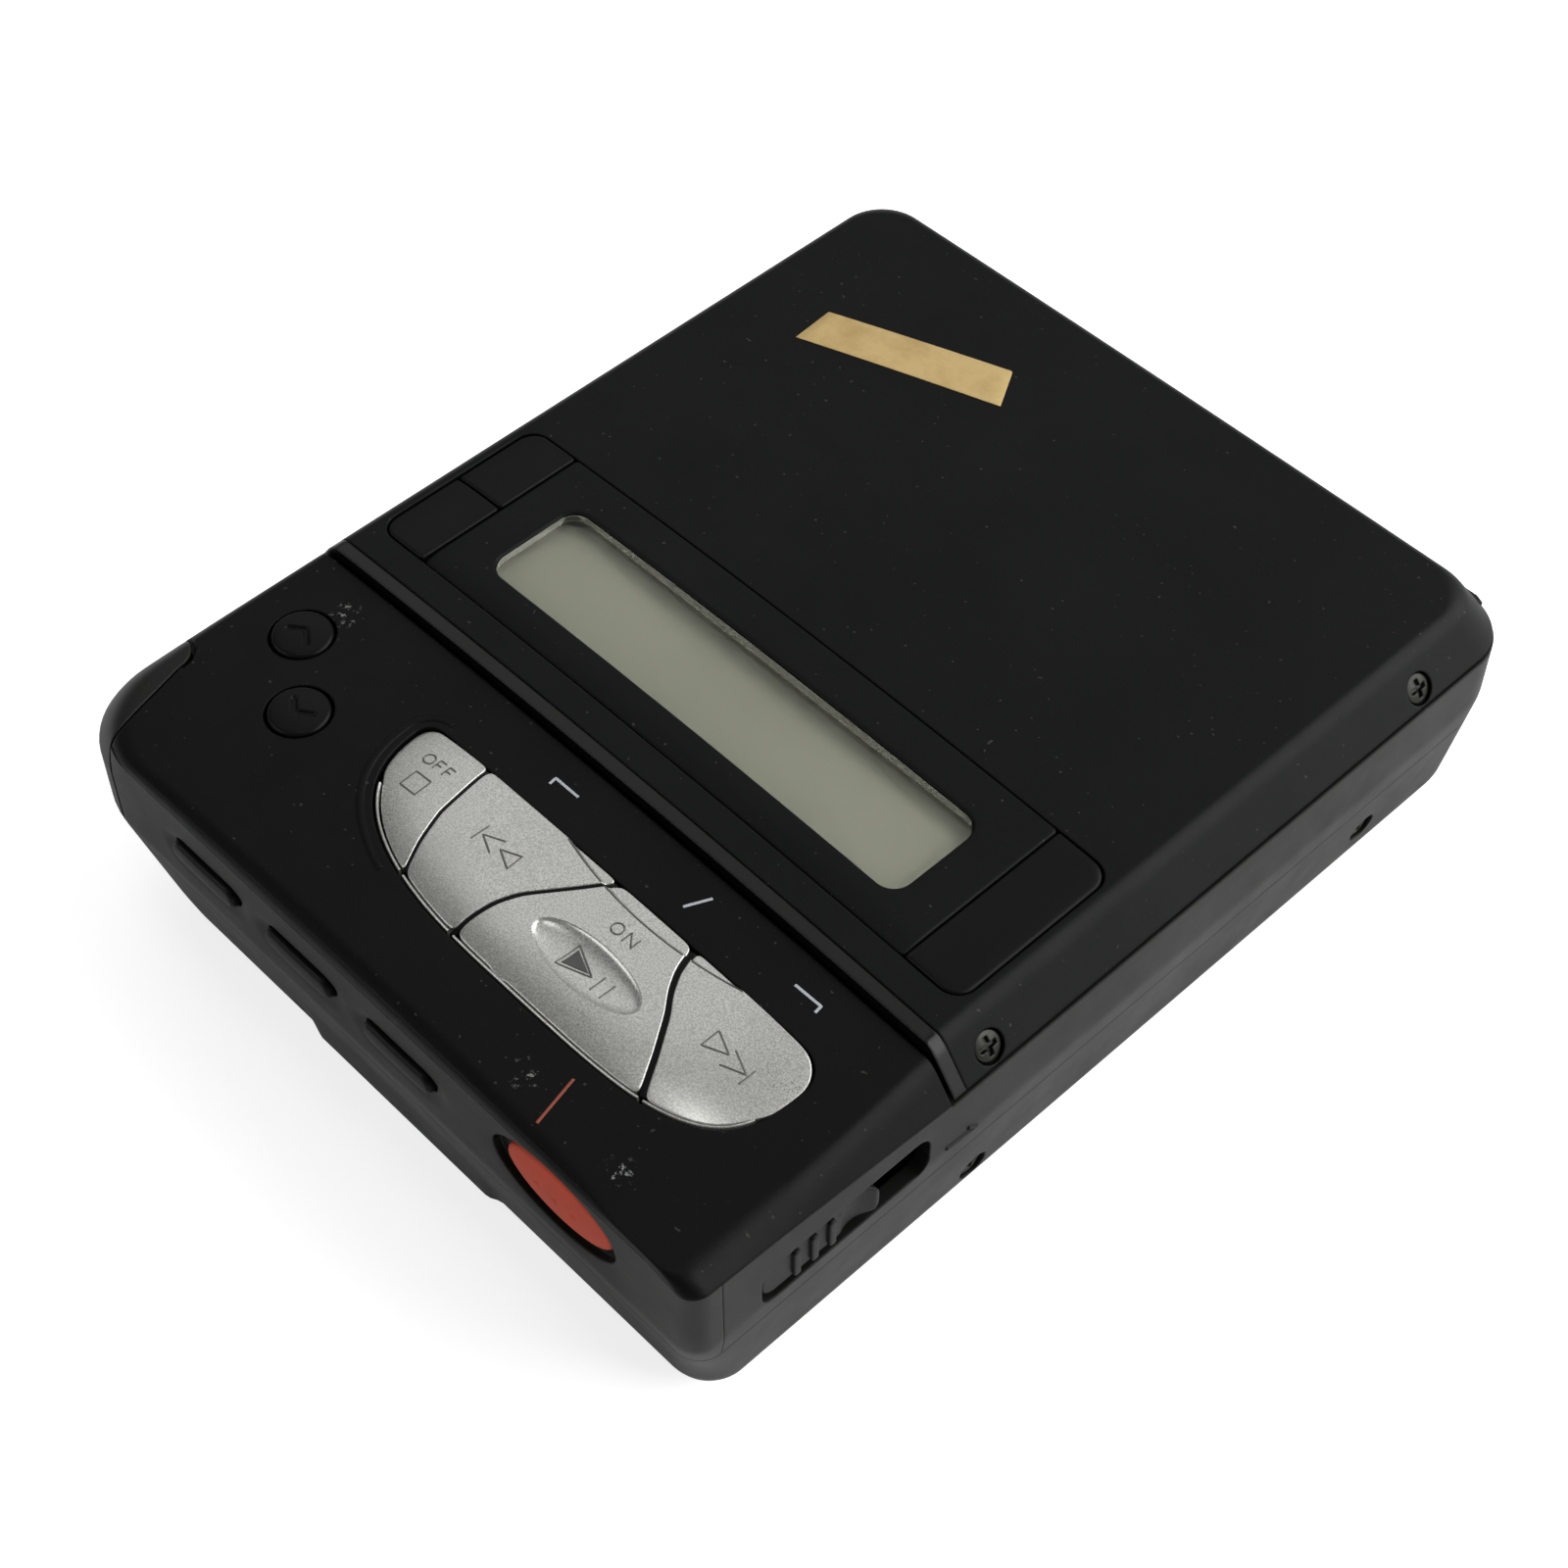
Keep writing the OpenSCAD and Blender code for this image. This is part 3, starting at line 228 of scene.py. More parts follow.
def red_rubbery(name):
    """Red moulded key: slightly soft gloss, with the colour deeper in patches."""
    n = Nodes(name)
    cloud = n.noise(380.0, 4.0, 0.55)
    n.feed(Base_Color=n.blend(n.span(cloud, 0.35, 0.7), srgb(184, 62, 36), srgb(196, 72, 44)),
           Roughness=n.span(cloud, 0.3, 0.7, 0.42, 0.54),
           Normal=n.bump(n.noise(GRAIN, 2.0), 0.12, GRAIN_DEPTH, n.soft_edge(EDGE_SOFT)))
    n.put(Specular_IOR_Level=0.22)
    return n.mat


def bare_metal(name, base, rough, brushed):
    """Plated or drawn metal: fine lines along one axis in roughness and bump, and faint stains."""
    n = Nodes(name)
    lines = n.noise(900.0, 2.0, 0.5, brushed)
    stain = n.span(n.noise(130.0, 4.0, 0.6), 0.4, 0.75, 0.0, 0.5)
    n.feed(Base_Color=n.blend(stain, base, tuple(c * 0.72 for c in base)),
           Roughness=n.span(lines, 0.3, 0.7, rough - 0.05, rough + 0.08),
           Normal=n.bump(lines, 0.08, 0.00004, n.soft_edge(0.0002)))
    n.put(Metallic=1.0)
    return n.mat


def brick_grid(n, scale, mortar, offset):
    """Grid of lines on the part's own coordinates: 1 on the lines, 0 between them."""
    node = n.new("ShaderNodeTexBrick", offset=offset)
    node.inputs["Scale"].default_value = scale
    node.inputs["Mortar Size"].default_value = mortar
    n.link(n.place, node.inputs["Vector"])
    return node.outputs["Fac"]


def circuit_board(name):
    """Glass-fibre board: green lacquer over a faint weave and lighter copper runs."""
    n = Nodes(name)
    runs = brick_grid(n, 420.0, 0.035, 0.37)
    cloud = n.noise(90.0, 3.0)
    lacquer = n.blend(n.span(cloud, 0.35, 0.7), srgb(22, 62, 38), srgb(30, 76, 46))
    n.feed(Base_Color=n.blend(n.span(runs, 0.2, 0.8, 0.0, 0.7), lacquer, srgb(66, 118, 70)),
           Roughness=n.span(cloud, 0.3, 0.7, 0.28, 0.42),
           Normal=n.bump(runs, 0.2, 0.00003))
    return n.mat


def display_glass(name):
    """Clear moulded window: thin gloss with faint handling smears in its roughness."""
    n = Nodes(name)
    n.feed(Roughness=n.span(n.noise(70.0, 4.0, 0.6), 0.4, 0.8, 0.03, 0.10))
    n.put(Base_Color=(0.97, 0.98, 0.97, 1.0), Transmission_Weight=1.0, IOR=1.15, Specular_IOR_Level=0.4)
    return n.mat


def crystal_cell(name):
    """Unlit display: grey-green with a faint dot matrix and a slow change of tone along it."""
    n = Nodes(name)
    dots = n.math("MULTIPLY", brick_grid(n, 1700.0, 0.12, 0.0), 0.05)
    cloud = n.noise(28.0, 2.0)
    plain = n.blend(n.span(cloud, 0.35, 0.65), srgb(158, 158, 141), srgb(168, 168, 151))
    n.feed(Base_Color=n.blend(dots, plain, srgb(120, 121, 108)),
           Roughness=n.span(cloud, 0.3, 0.7, 0.42, 0.52))
    n.put(Specular_IOR_Level=0.3)
    return n.mat


def foil(name):
    """Gold foil: brushed along its length, rubbed thin in places."""
    n = Nodes(name)
    lines = n.noise(420.0, 3.0, 0.55, (1.0, 9.0, 1.0))
    rub = n.noise(190.0, 5.0, 0.65)
    n.feed(Base_Color=n.blend(n.span(rub, 0.40, 0.72), srgb(214, 186, 128), srgb(186, 156, 98)),
           Roughness=n.span(lines, 0.3, 0.7, 0.40, 0.55),
           Normal=n.bump(rub, 0.12, 0.00005))
    n.put(Metallic=0.45)
    return n.mat


def printed_ink(name, base):
    """Screen-printed ink: small gaps and an uneven film over the grain."""
    n = Nodes(name)
    gaps = n.noise(2600.0, 3.0, 0.6)
    n.feed(Base_Color=n.blend(n.span(gaps, 0.55, 0.72, 0.0, 0.45), base, tuple(c * 0.45 for c in base)),
           Roughness=n.span(gaps, 0.3, 0.7, 0.5, 0.65))
    return n.mat


# Places and radii of the rubbed patches on the deck
SCUFFS = ((-31.9, -27.6, 26.2, 1.9), (18.4, -48.6, 26.7, 1.8), (30.2, -49.3, 26.3, 1.7))
FINISH = {
    "case_black": moulded_plastic("case_black", srgb(17, 18, 16), 0.42, 0.22, sheen=0.23, smudge=0.3,
                                  dust=0.15),
    "deck_black": moulded_plastic("deck_black", srgb(6, 7, 6), 0.42, 0.25, sheen=0.115, smudge=0.2,
                                  spots=SCUFFS, dust=0.15),
    "lid_black": moulded_plastic("lid_black", srgb(7, 9, 8), 0.42, 0.25, sheen=0.125, smudge=0.3, dust=0.18),
    "lip_black": moulded_plastic("lip_black", srgb(10, 11, 9), 0.24, 0.05, sheen=0.3, smudge=0.2),
    "key_black": moulded_plastic("key_black", srgb(8, 9, 8), 0.34, 0.12, sheen=0.12, smudge=0.2),
    "black_steel": bare_metal("black_steel", srgb(58, 58, 55), 0.38, (1.0, 1.0, 1.0)),
    "key_silver": satin_silver("key_silver"),
    "record_red": red_rubbery("record_red"),
    "sign_silver": bare_metal("sign_silver", srgb(118, 118, 114), 0.42, (1.0, 1.0, 1.0)),
    # Grey that paints shade: the line in the groove along the silver keys' rear arc, and the shadowed recess
    # of the play key's triangle
    "painted_shade_grey": moulded_plastic("painted_shade_grey", srgb(70, 70, 68), 0.5, 0.2),
    "clear_window": display_glass("clear_window"),
    "lcd_grey": crystal_cell("lcd_grey"),
    "inner_plastic": moulded_plastic("inner_plastic", srgb(48, 49, 51), 0.55, 0.3),
    "steel": bare_metal("steel", srgb(176, 177, 178), 0.30, (1.0, 12.0, 1.0)),
    "board_green": circuit_board("board_green"),
    "chip_black": moulded_plastic("chip_black", srgb(26, 26, 27), 0.6, 0.35),
    "soft_rubber": moulded_plastic("soft_rubber", srgb(30, 30, 30), 0.72, 0.3, sheen=0.2),
    "contact_brass": bare_metal("contact_brass", srgb(214, 178, 96), 0.26, (1.0, 1.0, 9.0)),
    "battery_grey": moulded_plastic("battery_grey", srgb(86, 90, 96), 0.38, 0.15),
    "lens_glass": display_glass("lens_glass"),
    "foil_gold": foil("foil_gold"),
    "ink_white": printed_ink("ink_white", srgb(176, 180, 188)),
    "ink_red": printed_ink("ink_red", srgb(140, 66, 48)),
}


SLOT_OF = {row["node"]: row["material_slot"] for row in frame["record"]["subparts"]}
for node, obj in frame["nodes"].items():
    obj.data.materials.clear()
    obj.data.materials.append(FINISH[SLOT_OF[node]])


# Camera of the photograph: pinhole at this place in millimetres, turned by azimuth and elevation, with its
# focal length in pixels of the photograph's own width
EYE = (128.659, -125.563, 226.300)
AZIMUTH, ELEVATION = math.radians(46.17), math.radians(50.75)
FOCAL_PX, FRAME_PX, SENSOR = 3004.1, 1600.0, 36.0


def photo_camera():
    """A camera whose back is (sin a cos e, -cos a cos e, sin e), level across."""
    ca, sa, ce, se = math.cos(AZIMUTH), math.sin(AZIMUTH), math.cos(ELEVATION), math.sin(ELEVATION)
    right = Vector((ca, sa, 0.0))
    back = Vector((sa * ce, -ca * ce, se))
    up = back.cross(right)
    data = bpy.data.cameras.new("photo_camera")
    data.sensor_fit = "HORIZONTAL"
    data.sensor_width = SENSOR
    data.lens = SENSOR * FOCAL_PX / FRAME_PX
    data.clip_start, data.clip_end = 0.01, 20.0
    camera = bpy.data.objects.new("photo_camera", data)
    turn = Matrix((right, up, back)).transposed().to_4x4()
    camera.matrix_world = Matrix.Translation(Vector(EYE) * MM) @ turn
    scene.collection.objects.link(camera)
    scene.camera = camera


def soft_lamp(name, at, aim, size, watts):
    """A soft box of this width and height at a place in metres, facing aim."""
    data = bpy.data.lights.new(name, "AREA")
    data.shape = "RECTANGLE"
    data.size, data.size_y = size
    data.energy = watts
    lamp = bpy.data.objects.new(name, data)
    lamp.location = at
    lamp.rotation_euler = (Vector(aim) - Vector(at)).to_track_quat("-Z", "Y").to_euler()
    scene.collection.objects.link(lamp)


def pale_floor():
    """A wide white floor that keeps the shadow: lit paper, lifted to white for what sees it straight or
    through the window, and less for what mirrors it."""
    side = np.array([-FLOOR_HALF, FLOOR_HALF])
    x, y = np.meshgrid(side, side, indexing="ij")
    points = np.stack([x, y, np.full_like(x, -FLOOR_DROP)], -1).reshape(-1, 3)
    mesh = bpy.data.meshes.new("floor")
    mesh.from_pydata(points.tolist(), [], [(0, 2, 3, 1)])
    n = Nodes("floor_paper")
    n.tree.nodes.clear()
    paper = n.new("ShaderNodeBsdfDiffuse")
    paper.inputs["Color"].default_value = FLOOR_COLOUR
    ray = n.new("ShaderNodeLightPath").outputs
    mirrored = n.math("MULTIPLY", ray["Is Glossy Ray"], FLOOR_MIRRORED)
    seen = n.math("MAXIMUM", ray["Is Camera Ray"], mirrored)
    seen = n.math("MAXIMUM", seen, ray["Is Transmission Ray"])
    lift = n.new("ShaderNodeEmission")
    n.link(n.math("MULTIPLY", seen, FLOOR_LIFT), lift.inputs["Strength"])
    both = n.new("ShaderNodeAddShader")
    n.link(paper.outputs[0], both.inputs[0])
    n.link(lift.outputs[0], both.inputs[1])
    n.link(both.outputs[0], n.new("ShaderNodeOutputMaterial").inputs["Surface"])
    mesh.materials.append(n.mat)
    floor = bpy.data.objects.new("floor", mesh)
    scene.collection.objects.link(floor)


def studio_world():
    """Room light, paler at the walls than overhead, and white where the camera looks straight at it."""
    world = bpy.data.worlds.new("studio")
    scene.world = world
    world.use_nodes = True
    nodes, link = world.node_tree.nodes, world.node_tree.links.new
    back = nodes["Background"]
    back.inputs["Color"].default_value = (1.0, 1.0, 1.0, 1.0)
    parts = nodes.new("ShaderNodeSeparateXYZ")
    link(nodes.new("ShaderNodeTexCoord").outputs["Generated"], parts.inputs[0])
    room = nodes.new("ShaderNodeMapRange")
    room.inputs["From Max"].default_value = WALL_TOP
    room.inputs["To Min"].default_value = WALL_LEVEL
    room.inputs["To Max"].default_value = CEILING_LEVEL
    link(parts.outputs["Z"], room.inputs["Value"])
    level = nodes.new("ShaderNodeMapRange")
    level.inputs["To Max"].default_value = 1.0
    link(room.outputs["Result"], level.inputs["To Min"])
    link(nodes.new("ShaderNodeLightPath").outputs["Is Camera Ray"], level.inputs["Value"])
    link(level.outputs["Result"], back.inputs["Strength"])


FLOOR_HALF, FLOOR_DROP, FLOOR_COLOUR = 3.0, 0.00002, (0.8, 0.8, 0.8, 1.0)
FLOOR_MIRRORED = 0.12
FLOOR_LIFT = 0.70
WALL_TOP, WALL_LEVEL, CEILING_LEVEL = 0.55, 0.55, 0.12
AIM = (0.0, 0.0, 0.02)
photo_camera()
soft_lamp("rear_box", (0.55, 0.60, 0.55), AIM, (1.2, 1.0), 13.5)
soft_lamp("rear_panel", (-0.41, 0.39, 0.70), AIM, (0.8, 0.6), 0.98)
soft_lamp("top_spark", (-0.02, -0.05, 1.0), AIM, (0.22, 0.22), 0.6)
soft_lamp("front_box", (-0.45, -0.75, 0.55), AIM, (0.7, 0.4), 1.8)
pale_floor()
studio_world()
scene.view_settings.view_transform = "Standard"


def quads(i, j, k, m, cols):
    """Quads between rows i and k and columns j and m of a grid with cols points in a row."""
    return np.stack([i * cols + j, i * cols + m, k * cols + m, k * cols + j], -1).reshape(-1, 4).tolist()


def grid_faces(rows, cols):
    """Quads of a grid of rows by cols points whose last column joins the first."""
    i, j = np.meshgrid(np.arange(rows - 1), np.arange(cols), indexing="ij")
    return quads(i, j, i + 1, (j + 1) % cols, cols)


def loop_faces(rows, cols):
    """Quads of a grid that closes on itself both ways."""
    i, j = np.meshgrid(np.arange(rows), np.arange(cols), indexing="ij")
    return quads(i, j, (i + 1) % rows, (j + 1) % cols, cols)


def new_piece(name, points, faces, finish):
    """A mesh object from points in millimetres."""
    mesh = bpy.data.meshes.new(name)
    mesh.from_pydata((np.asarray(points, float).reshape(-1, 3) * MM).tolist(), [], faces)
    mesh.materials.append(FINISH[finish])
    obj = bpy.data.objects.new(name, mesh)
    scene.collection.objects.link(obj)
    return obj


SHARP_ANGLE = math.radians(32)


def finish_piece(obj, body, slot, *nodes):
    """Smooths the piece except over sharp edges, lets it ride on its body and stand for its CAD nodes."""
    mesh = obj.data
    mesh.polygons.foreach_set("use_smooth", np.ones(len(mesh.polygons), bool))
    mesh.set_sharp_from_angle(angle=SHARP_ANGLE)
    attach(obj, body)
    if nodes:
        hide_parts(*nodes)


def carve(obj, *cutters, keep=None):
    """Takes the cutters out of the piece, or keeps only what lies in keep, and removes them."""
    tools = [(cutter, "DIFFERENCE") for cutter in cutters] + ([(keep, "INTERSECT")] if keep else [])
    for cutter, what in tools:
        mod = obj.modifiers.new("cut", "BOOLEAN")
        mod.operation, mod.solver, mod.object = what, "EXACT", cutter
    bpy.context.view_layer.update()
    solid = bpy.data.meshes.new_from_object(obj.evaluated_get(bpy.context.evaluated_depsgraph_get()))
    obj.modifiers.clear()
    obj.data = solid
    for cutter, what in tools:
        bpy.data.objects.remove(cutter)


# Origin and directions for pieces made in Y, Z and X on the right wall, and in X, Z and depth on the front
ON_RIGHT = (0, 0, 0), (0, 1, 0), (0, 0, 1), (1, 0, 0)
ON_FRONT = (0, 0, 0), (1, 0, 0), (0, 0, 1), (0, -1, 0)


def placed(obj, origin, across, upward, outward):
    """Moves a piece made in X, Y and height to a place in millimetres with these three directions."""
    co = np.zeros(len(obj.data.vertices) * 3)
    obj.data.vertices.foreach_get("co", co)
    turned = co.reshape(-1, 3) @ np.array([across, upward, outward], float) + np.array(origin, float) * MM
    obj.data.vertices.foreach_set("co", turned.ravel())
    obj.data.update()
    return obj


def corner_box(x0, x1, y0, y1, radius, steps=8, along=1):
    """Round-cornered outline, counter-clockwise: four arcs of steps + 1 points, and straight runs cut into
    along parts."""
    radius = np.broadcast_to(radius, 4)
    centres = np.array([[x1, y1], [x0, y1], [x0, y0], [x1, y0]], float)
    inward = np.array([[-1, -1], [1, -1], [1, 1], [-1, 1]], float)
    angle = np.radians(np.linspace(0, 90, steps + 1)[None, :] + 90 * np.arange(4)[:, None])
    arcs = (centres + inward * radius[:, None])[:, None, :] + radius[:, None, None] * np.stack(
        [np.cos(angle), np.sin(angle)], -1)
    part = np.linspace(0, 1, along + 1)[1:-1, None]
    runs = arcs[:, None, -1, :] * (1 - part) + np.roll(arcs, -1, 0)[:, None, 0, :] * part
    return np.concatenate([arcs, runs], 1).reshape(-1, 2)


def oval(cx, cy, rx, ry, n=20):
    """Outline of an ellipse: n points at even angles."""
    turn = np.arange(n) * 2 * np.pi / n
    return np.column_stack([cx + rx * np.cos(turn), cy + ry * np.sin(turn)])


def disc(x, y, r, n=64):
    """Outline of a circle."""
    return oval(x, y, r, r, n)


def at_height(ring, z):
    """Points of a ring in X and Y, all at height z."""
    return np.column_stack([ring, np.full(len(ring), z)])


def prism(name, outline, lo, hi, up="z"):
    """Solid from lo to hi with this outline: in X and Y along Z, X and Z along Y, or Y and Z along X."""
    points = np.concatenate([at_height(outline, lo), at_height(outline, hi)])
    points = {"z": points, "y": points[:, [0, 2, 1]], "x": points[:, [2, 0, 1]]}[up]
    n = len(outline)
    faces = grid_faces(2, n) + [list(range(n - 1, -1, -1)), list(range(n, 2 * n))]
    if up == "y":
        faces = [face[::-1] for face in faces]
    return new_piece(name, points, faces, "case_black")


def slab(name, x0, x1, y0, y1, lo=LOW, hi=HIGH):
    """Box-shaped cutter with its upright edges just broken."""
    return prism(name, corner_box(x0, x1, y0, y1, 0.1), lo, hi)


def block(name, x0, x1, y0, y1, lo, hi):
    """Plain box with its upright edges cut by a hair."""
    return prism(name, corner_box(x0, x1, y0, y1, 0.05, 1), lo, hi)


def side_span(side, near, far):
    """From and to along X, on the left for side -1 and on the right for 1."""
    return sorted((side * near, side * far))


def smooth_step(lo, hi, v):
    """0 up to lo, 1 from hi on, and a smooth s-curve 3 t t - 2 t t t between them."""
    t = np.clip((v - lo) / (hi - lo), 0, 1)
    return t * t * (3 - 2 * t)


def soft_min(a, b, k):
    """Lower of two heights with their meeting rounded over a width k."""
    h = np.maximum(k - np.abs(a - b), 0) / k
    return np.minimum(a, b) - h * h * k / 4


def crown(top, x):
    """Height of the crowned top at x."""
    return top - np.asarray(x) ** 2 / (2 * CROWN_R)


NOSE_R, NOSE_MORE = 2.0, 1.8
FILLET, FILLET_MORE = 1.1, 1.7
REAR_MORE = 1.2


def nose_round(z):
    """Radius of the front right corner: tight at the deck, rounder near the base."""
    return float(NOSE_R + NOSE_MORE * smooth_step(18.0, 4.0, z))


def case_ring(side, front, rear, steps=14, along=48, draw=0.0, corner=CORNER, nose=CORNER):
    """Outline of the case drawn in from its sides, front and rear; the corner at the battery door is
    rounder. draw lessens the corners' radii."""
    radius = np.array([corner, corner, DOOR_CORNER, nose]) - draw
    return corner_box(-X_HALF + side, X_HALF - side, Y_FRONT + front, Y_REAR - rear, radius, steps, along)


def forward(y):
    """0 at the deck's rear edge, 1 at the front."""
    return np.clip((DECK_REAR - y) / (DECK_REAR - Y_FRONT), 0, 1)


def edge_rise(ring, d):
    """How far the deck's right edge has risen at the points of a ring drawn in by d: more towards the front,
    and round the corner there."""
    return EDGE_RISE * forward(ring[:, 1]) * smooth_step(X_HALF - d - 10.0, X_HALF - d - 4.0, ring[:, 0])


def fillet_width(y):
    """Width of the round between the slopes and the crown, wider towards the front."""
    return FILLET + FILLET_MORE * smooth_step(-34.0, -50.0, y)


def edge_height(y):
    """Height of the deck's right edge at y."""
    return soft_min(LID_Z + EDGE_RISE * forward(y), crown(DECK_TOP, X_HALF), fillet_width(y))


def edge_cutter(y0, y1, lo, hi):
    """Cutter over the deck's right edge between y0 and y1, from x = lo to hi."""
    y = np.linspace(y0, y1, 30)
    section = np.concatenate([np.column_stack([y, edge_height(y)]), [(y1, OUT), (y0, OUT)]])
    return prism("edge", section, lo, hi, up="x")


def roof_insets(first, few=6, last=36.0, many=16):
    """Insets of a roof's rings: a few up the slope, close ones round the fillet, wide ones to the middle."""
    return np.concatenate([np.linspace(first, 2.4, few), np.linspace(2.6, 5.3, 19),
                           np.linspace(6.0, last, many)])


def roof_rows(top, inset, front_run, thick=0.0, corner=CORNER, rise=False):
    """Rings of a crowned roof, one for each inset from the sides: a straight slope that a fillet turns into
    the crown, wider towards the front. thick draws the roof in for its underside; rise lifts the right
    edge."""
    rings = []
    for d in inset:
        rear = d * REAR_SHOULDER / SHOULDER if d < SHOULDER else d - SHOULDER + REAR_SHOULDER
        front = front_run(d)
        ring = case_ring(d + thick, front + thick, rear + thick, draw=min(thick, 2.0),
                         corner=corner + REAR_MORE * max(0.0, 1 - d / SHOULDER), nose=nose_round(LID_Z))
        line = LID_Z - thick + d * SLOPE_H / SHOULDER + (edge_rise(ring, d + thick) if rise else 0.0)
        height = soft_min(line, crown(top - thick, ring[:, 0]), fillet_width(ring[:, 1]))
        rings.append(np.column_stack([ring, height]))
    return rings


def close_rings(rings):
    """Points and faces of rings joined one to the next, their two ends closed."""
    n = len(rings[0])
    faces = grid_faces(len(rings), n)
    last = (len(rings) - 1) * n
    return np.concatenate(rings), faces + [list(range(n - 1, -1, -1)), list(range(last, last + n))]


def loop_rings(rings):
    """Points and faces of rings joined one to the next and the last to the first."""
    return np.concatenate(rings), loop_faces(len(rings), len(rings[0]))


def lid_run(d):
    """How far the lid's front is drawn in where its sides are drawn in by d."""
    return 0.2 * d


OPENING = (-38.0, 38.0, -18.7, 0.7)
BARREL_END = 38.4
LIP_DEPTH, LIP_DROP = 1.36, 0.06
LID_SCREWS = [(side, y, 23.7) for side in (-1, 1) for y in (-18.1, 38.7)]


def lid_shell():
    """Lid: rings of the crowned roof outside, the same drawn in by the skin inside, joined at the rim."""
    inset = roof_insets(LID_GAP)
    outer = roof_rows(LID_TOP, inset, lid_run, corner=LID_CORNER)
    inner = roof_rows(LID_TOP, inset[::-1], lid_run, SKIN, LID_CORNER)
    inner.append(at_height(inner[-1][:, :2], LID_UNDER))
    points, faces = close_rings(outer[::-1] + inner[-1:] + inner[-2::-1])
    shell = new_piece("lid_cover_shell", points, faces, "lid_black")
    opening = prism("opening", corner_box(*OPENING, 2.2), 23.5, HIGH)
    front = slab("front", -OUT, OUT, -FAR, LID_FRONT + LIP_DEPTH + 0.1)
    carve(shell, front, opening, *screw_pockets(), *lug_rooms())
    finish_piece(shell, "lid", "lid_black", "lid_cover")


def lid_barrel():
    """Hinge barrel under the lid's rear edge, in three lengths between the lugs: a round bar with a web up
    to the skin."""
    turn = np.radians(np.linspace(150, 390, 40))
    section = np.column_stack([HINGE_R * np.cos(turn), HINGE_R * np.sin(turn)]) + HINGE
    section = np.concatenate([section, [[52.4, 23.0], [50.3, 23.0]]])
    inside, outside = LUG_IN - LUG_GAP, LUG_OUT + LUG_GAP
    for i, (x0, x1) in enumerate(((-inside, inside), (outside, BARREL_END), (-BARREL_END, -outside))):
        bar = prism(f"lid_barrel_{i}", section, x0, x1, up="x")
        carve(bar, keep=prism("plan", case_ring(0.4, 0.0, 0.0, corner=CORNER + 0.8), LOW, HIGH))
        finish_piece(bar, "lid", "lid_black")


def slope_place(side, y, z):
    """Point on the lid's side slope with its directions: along Y, up the slope and out of it."""
    tilt = math.atan2(SHOULDER, SLOPE_H)
    outward = np.array([side * math.cos(tilt), 0.0, math.sin(tilt)])
    across = np.array([0.0, side, 0.0])
    at = np.array([side * (X_HALF - (z - LID_Z) * SHOULDER / SLOPE_H), y, z])
    return at, across, np.cross(outward, across), outward


def screw_pockets():
    """Round pockets square to the lid's slopes for the screw heads."""
    return [placed(prism(f"lid_pocket_{i}", disc(0, 0, 1.62, 48), -1.2, 6.0), *slope_place(*at))
            for i, at in enumerate(LID_SCREWS)]


def lug_rooms():
    """Room round the two hinge lugs of the case."""
    return [prism(f"lug_room_{side}", disc(*HINGE, HINGE_ROOM, 32),
                  *side_span(side, LUG_IN - LUG_GAP, LUG_OUT + LUG_GAP), up="x") for side in (-1, 1)]


def lid_front_lip():
    """Strip along the lid's front: the roof's own rings between two cuts, a hair below the lid."""
    rings = [at_height(case_ring(LID_GAP, 0, 0), LID_UNDER)]
    points, faces = close_rings(rings + roof_rows(LID_TOP - LIP_DROP, roof_insets(LID_GAP), lid_run))
    lip = new_piece("lid_lip_strip", points, faces, "lip_black")
    carve(lip, slab("front", -OUT, OUT, -FAR, LID_FRONT),
          slab("rear", -OUT, OUT, LID_FRONT + LIP_DEPTH, FAR))
    finish_piece(lip, "lid", "lid_black", "lid_lip")


def deck_run(d):
    """How far the deck's front is drawn in where its sides are drawn in by d: upright, a small round, then
    level."""
    if d < 2.4:
        return 0.0
    return 0.5 * (1 - math.sqrt(max(0.0, 1 - ((d - 2.4) / 1.6) ** 2))) if d < 4.0 else 0.5 + d - 4.0


def deck_shell():
    """Key deck: the crowned roof a step below the lid, upright at the front with a small round there."""
    inset = roof_insets(0.0)
    outer = roof_rows(DECK_TOP, inset, deck_run, rise=True)
    inner = roof_rows(DECK_TOP, inset[::-1], deck_run, SKIN, rise=True)
    points, faces = close_rings(outer[::-1] + inner[::-1])
    shell = new_piece("deck_cover_shell", points, faces, "deck_black")
    seam = np.array([(-OUT, LOW), (OUT, LOW), *SEAM_LINE, (-OUT, SEAM_LINE[-1][1])]) + [0, 0.02]
    carve(shell, slab("rear", -OUT, OUT, DECK_REAR, FAR),
          prism("seam", seam, -FAR, SEAM_Y, up="y"),
          prism("door", door_outline(DOOR_GAP), LOW, HIGH),
          prism("cluster", cluster_outline(0.2), LOW, HIGH),
          *[prism(f"volume_{i}", disc(*at, VOLUME_R + 0.32), LOW, HIGH) for i, at in enumerate(VOLUME_AT)])
    finish_piece(shell, "body", "deck_black", "deck_cover")


def door_outline(g):
    """Ground plan of the battery door grown by g: round at its pivot, then slanting out to the front."""
    (px, py), slant = DOOR_PIVOT, -34.6
    arc = np.radians(np.linspace(180, 0, 24))
    r = 2.5 + (0.5 if g > 0 else 0.0)
    ring = np.column_stack([px + r * np.cos(arc), py + r * np.sin(arc)])
    front = [[px + 2.5 + g, py], [slant + g, Y_FRONT], [slant + g, -FAR], [-OUT, -FAR]]
    return np.concatenate([[[-OUT, py]], ring, front])[::-1]


CLUSTER_X, CLUSTER_Y, CLUSTER_RX, CLUSTER_RY = 9.5, -31.0, 25.3, 13.4
BOW_LEFT, BOW_RIGHT, REAR_LEFT, REAR_RIGHT = 2.6, 4.0, 1.6, 3.0
VOLUME_AT, VOLUME_R = ((-32.6, -31.9), (-25.2, -38.0)), 2.9


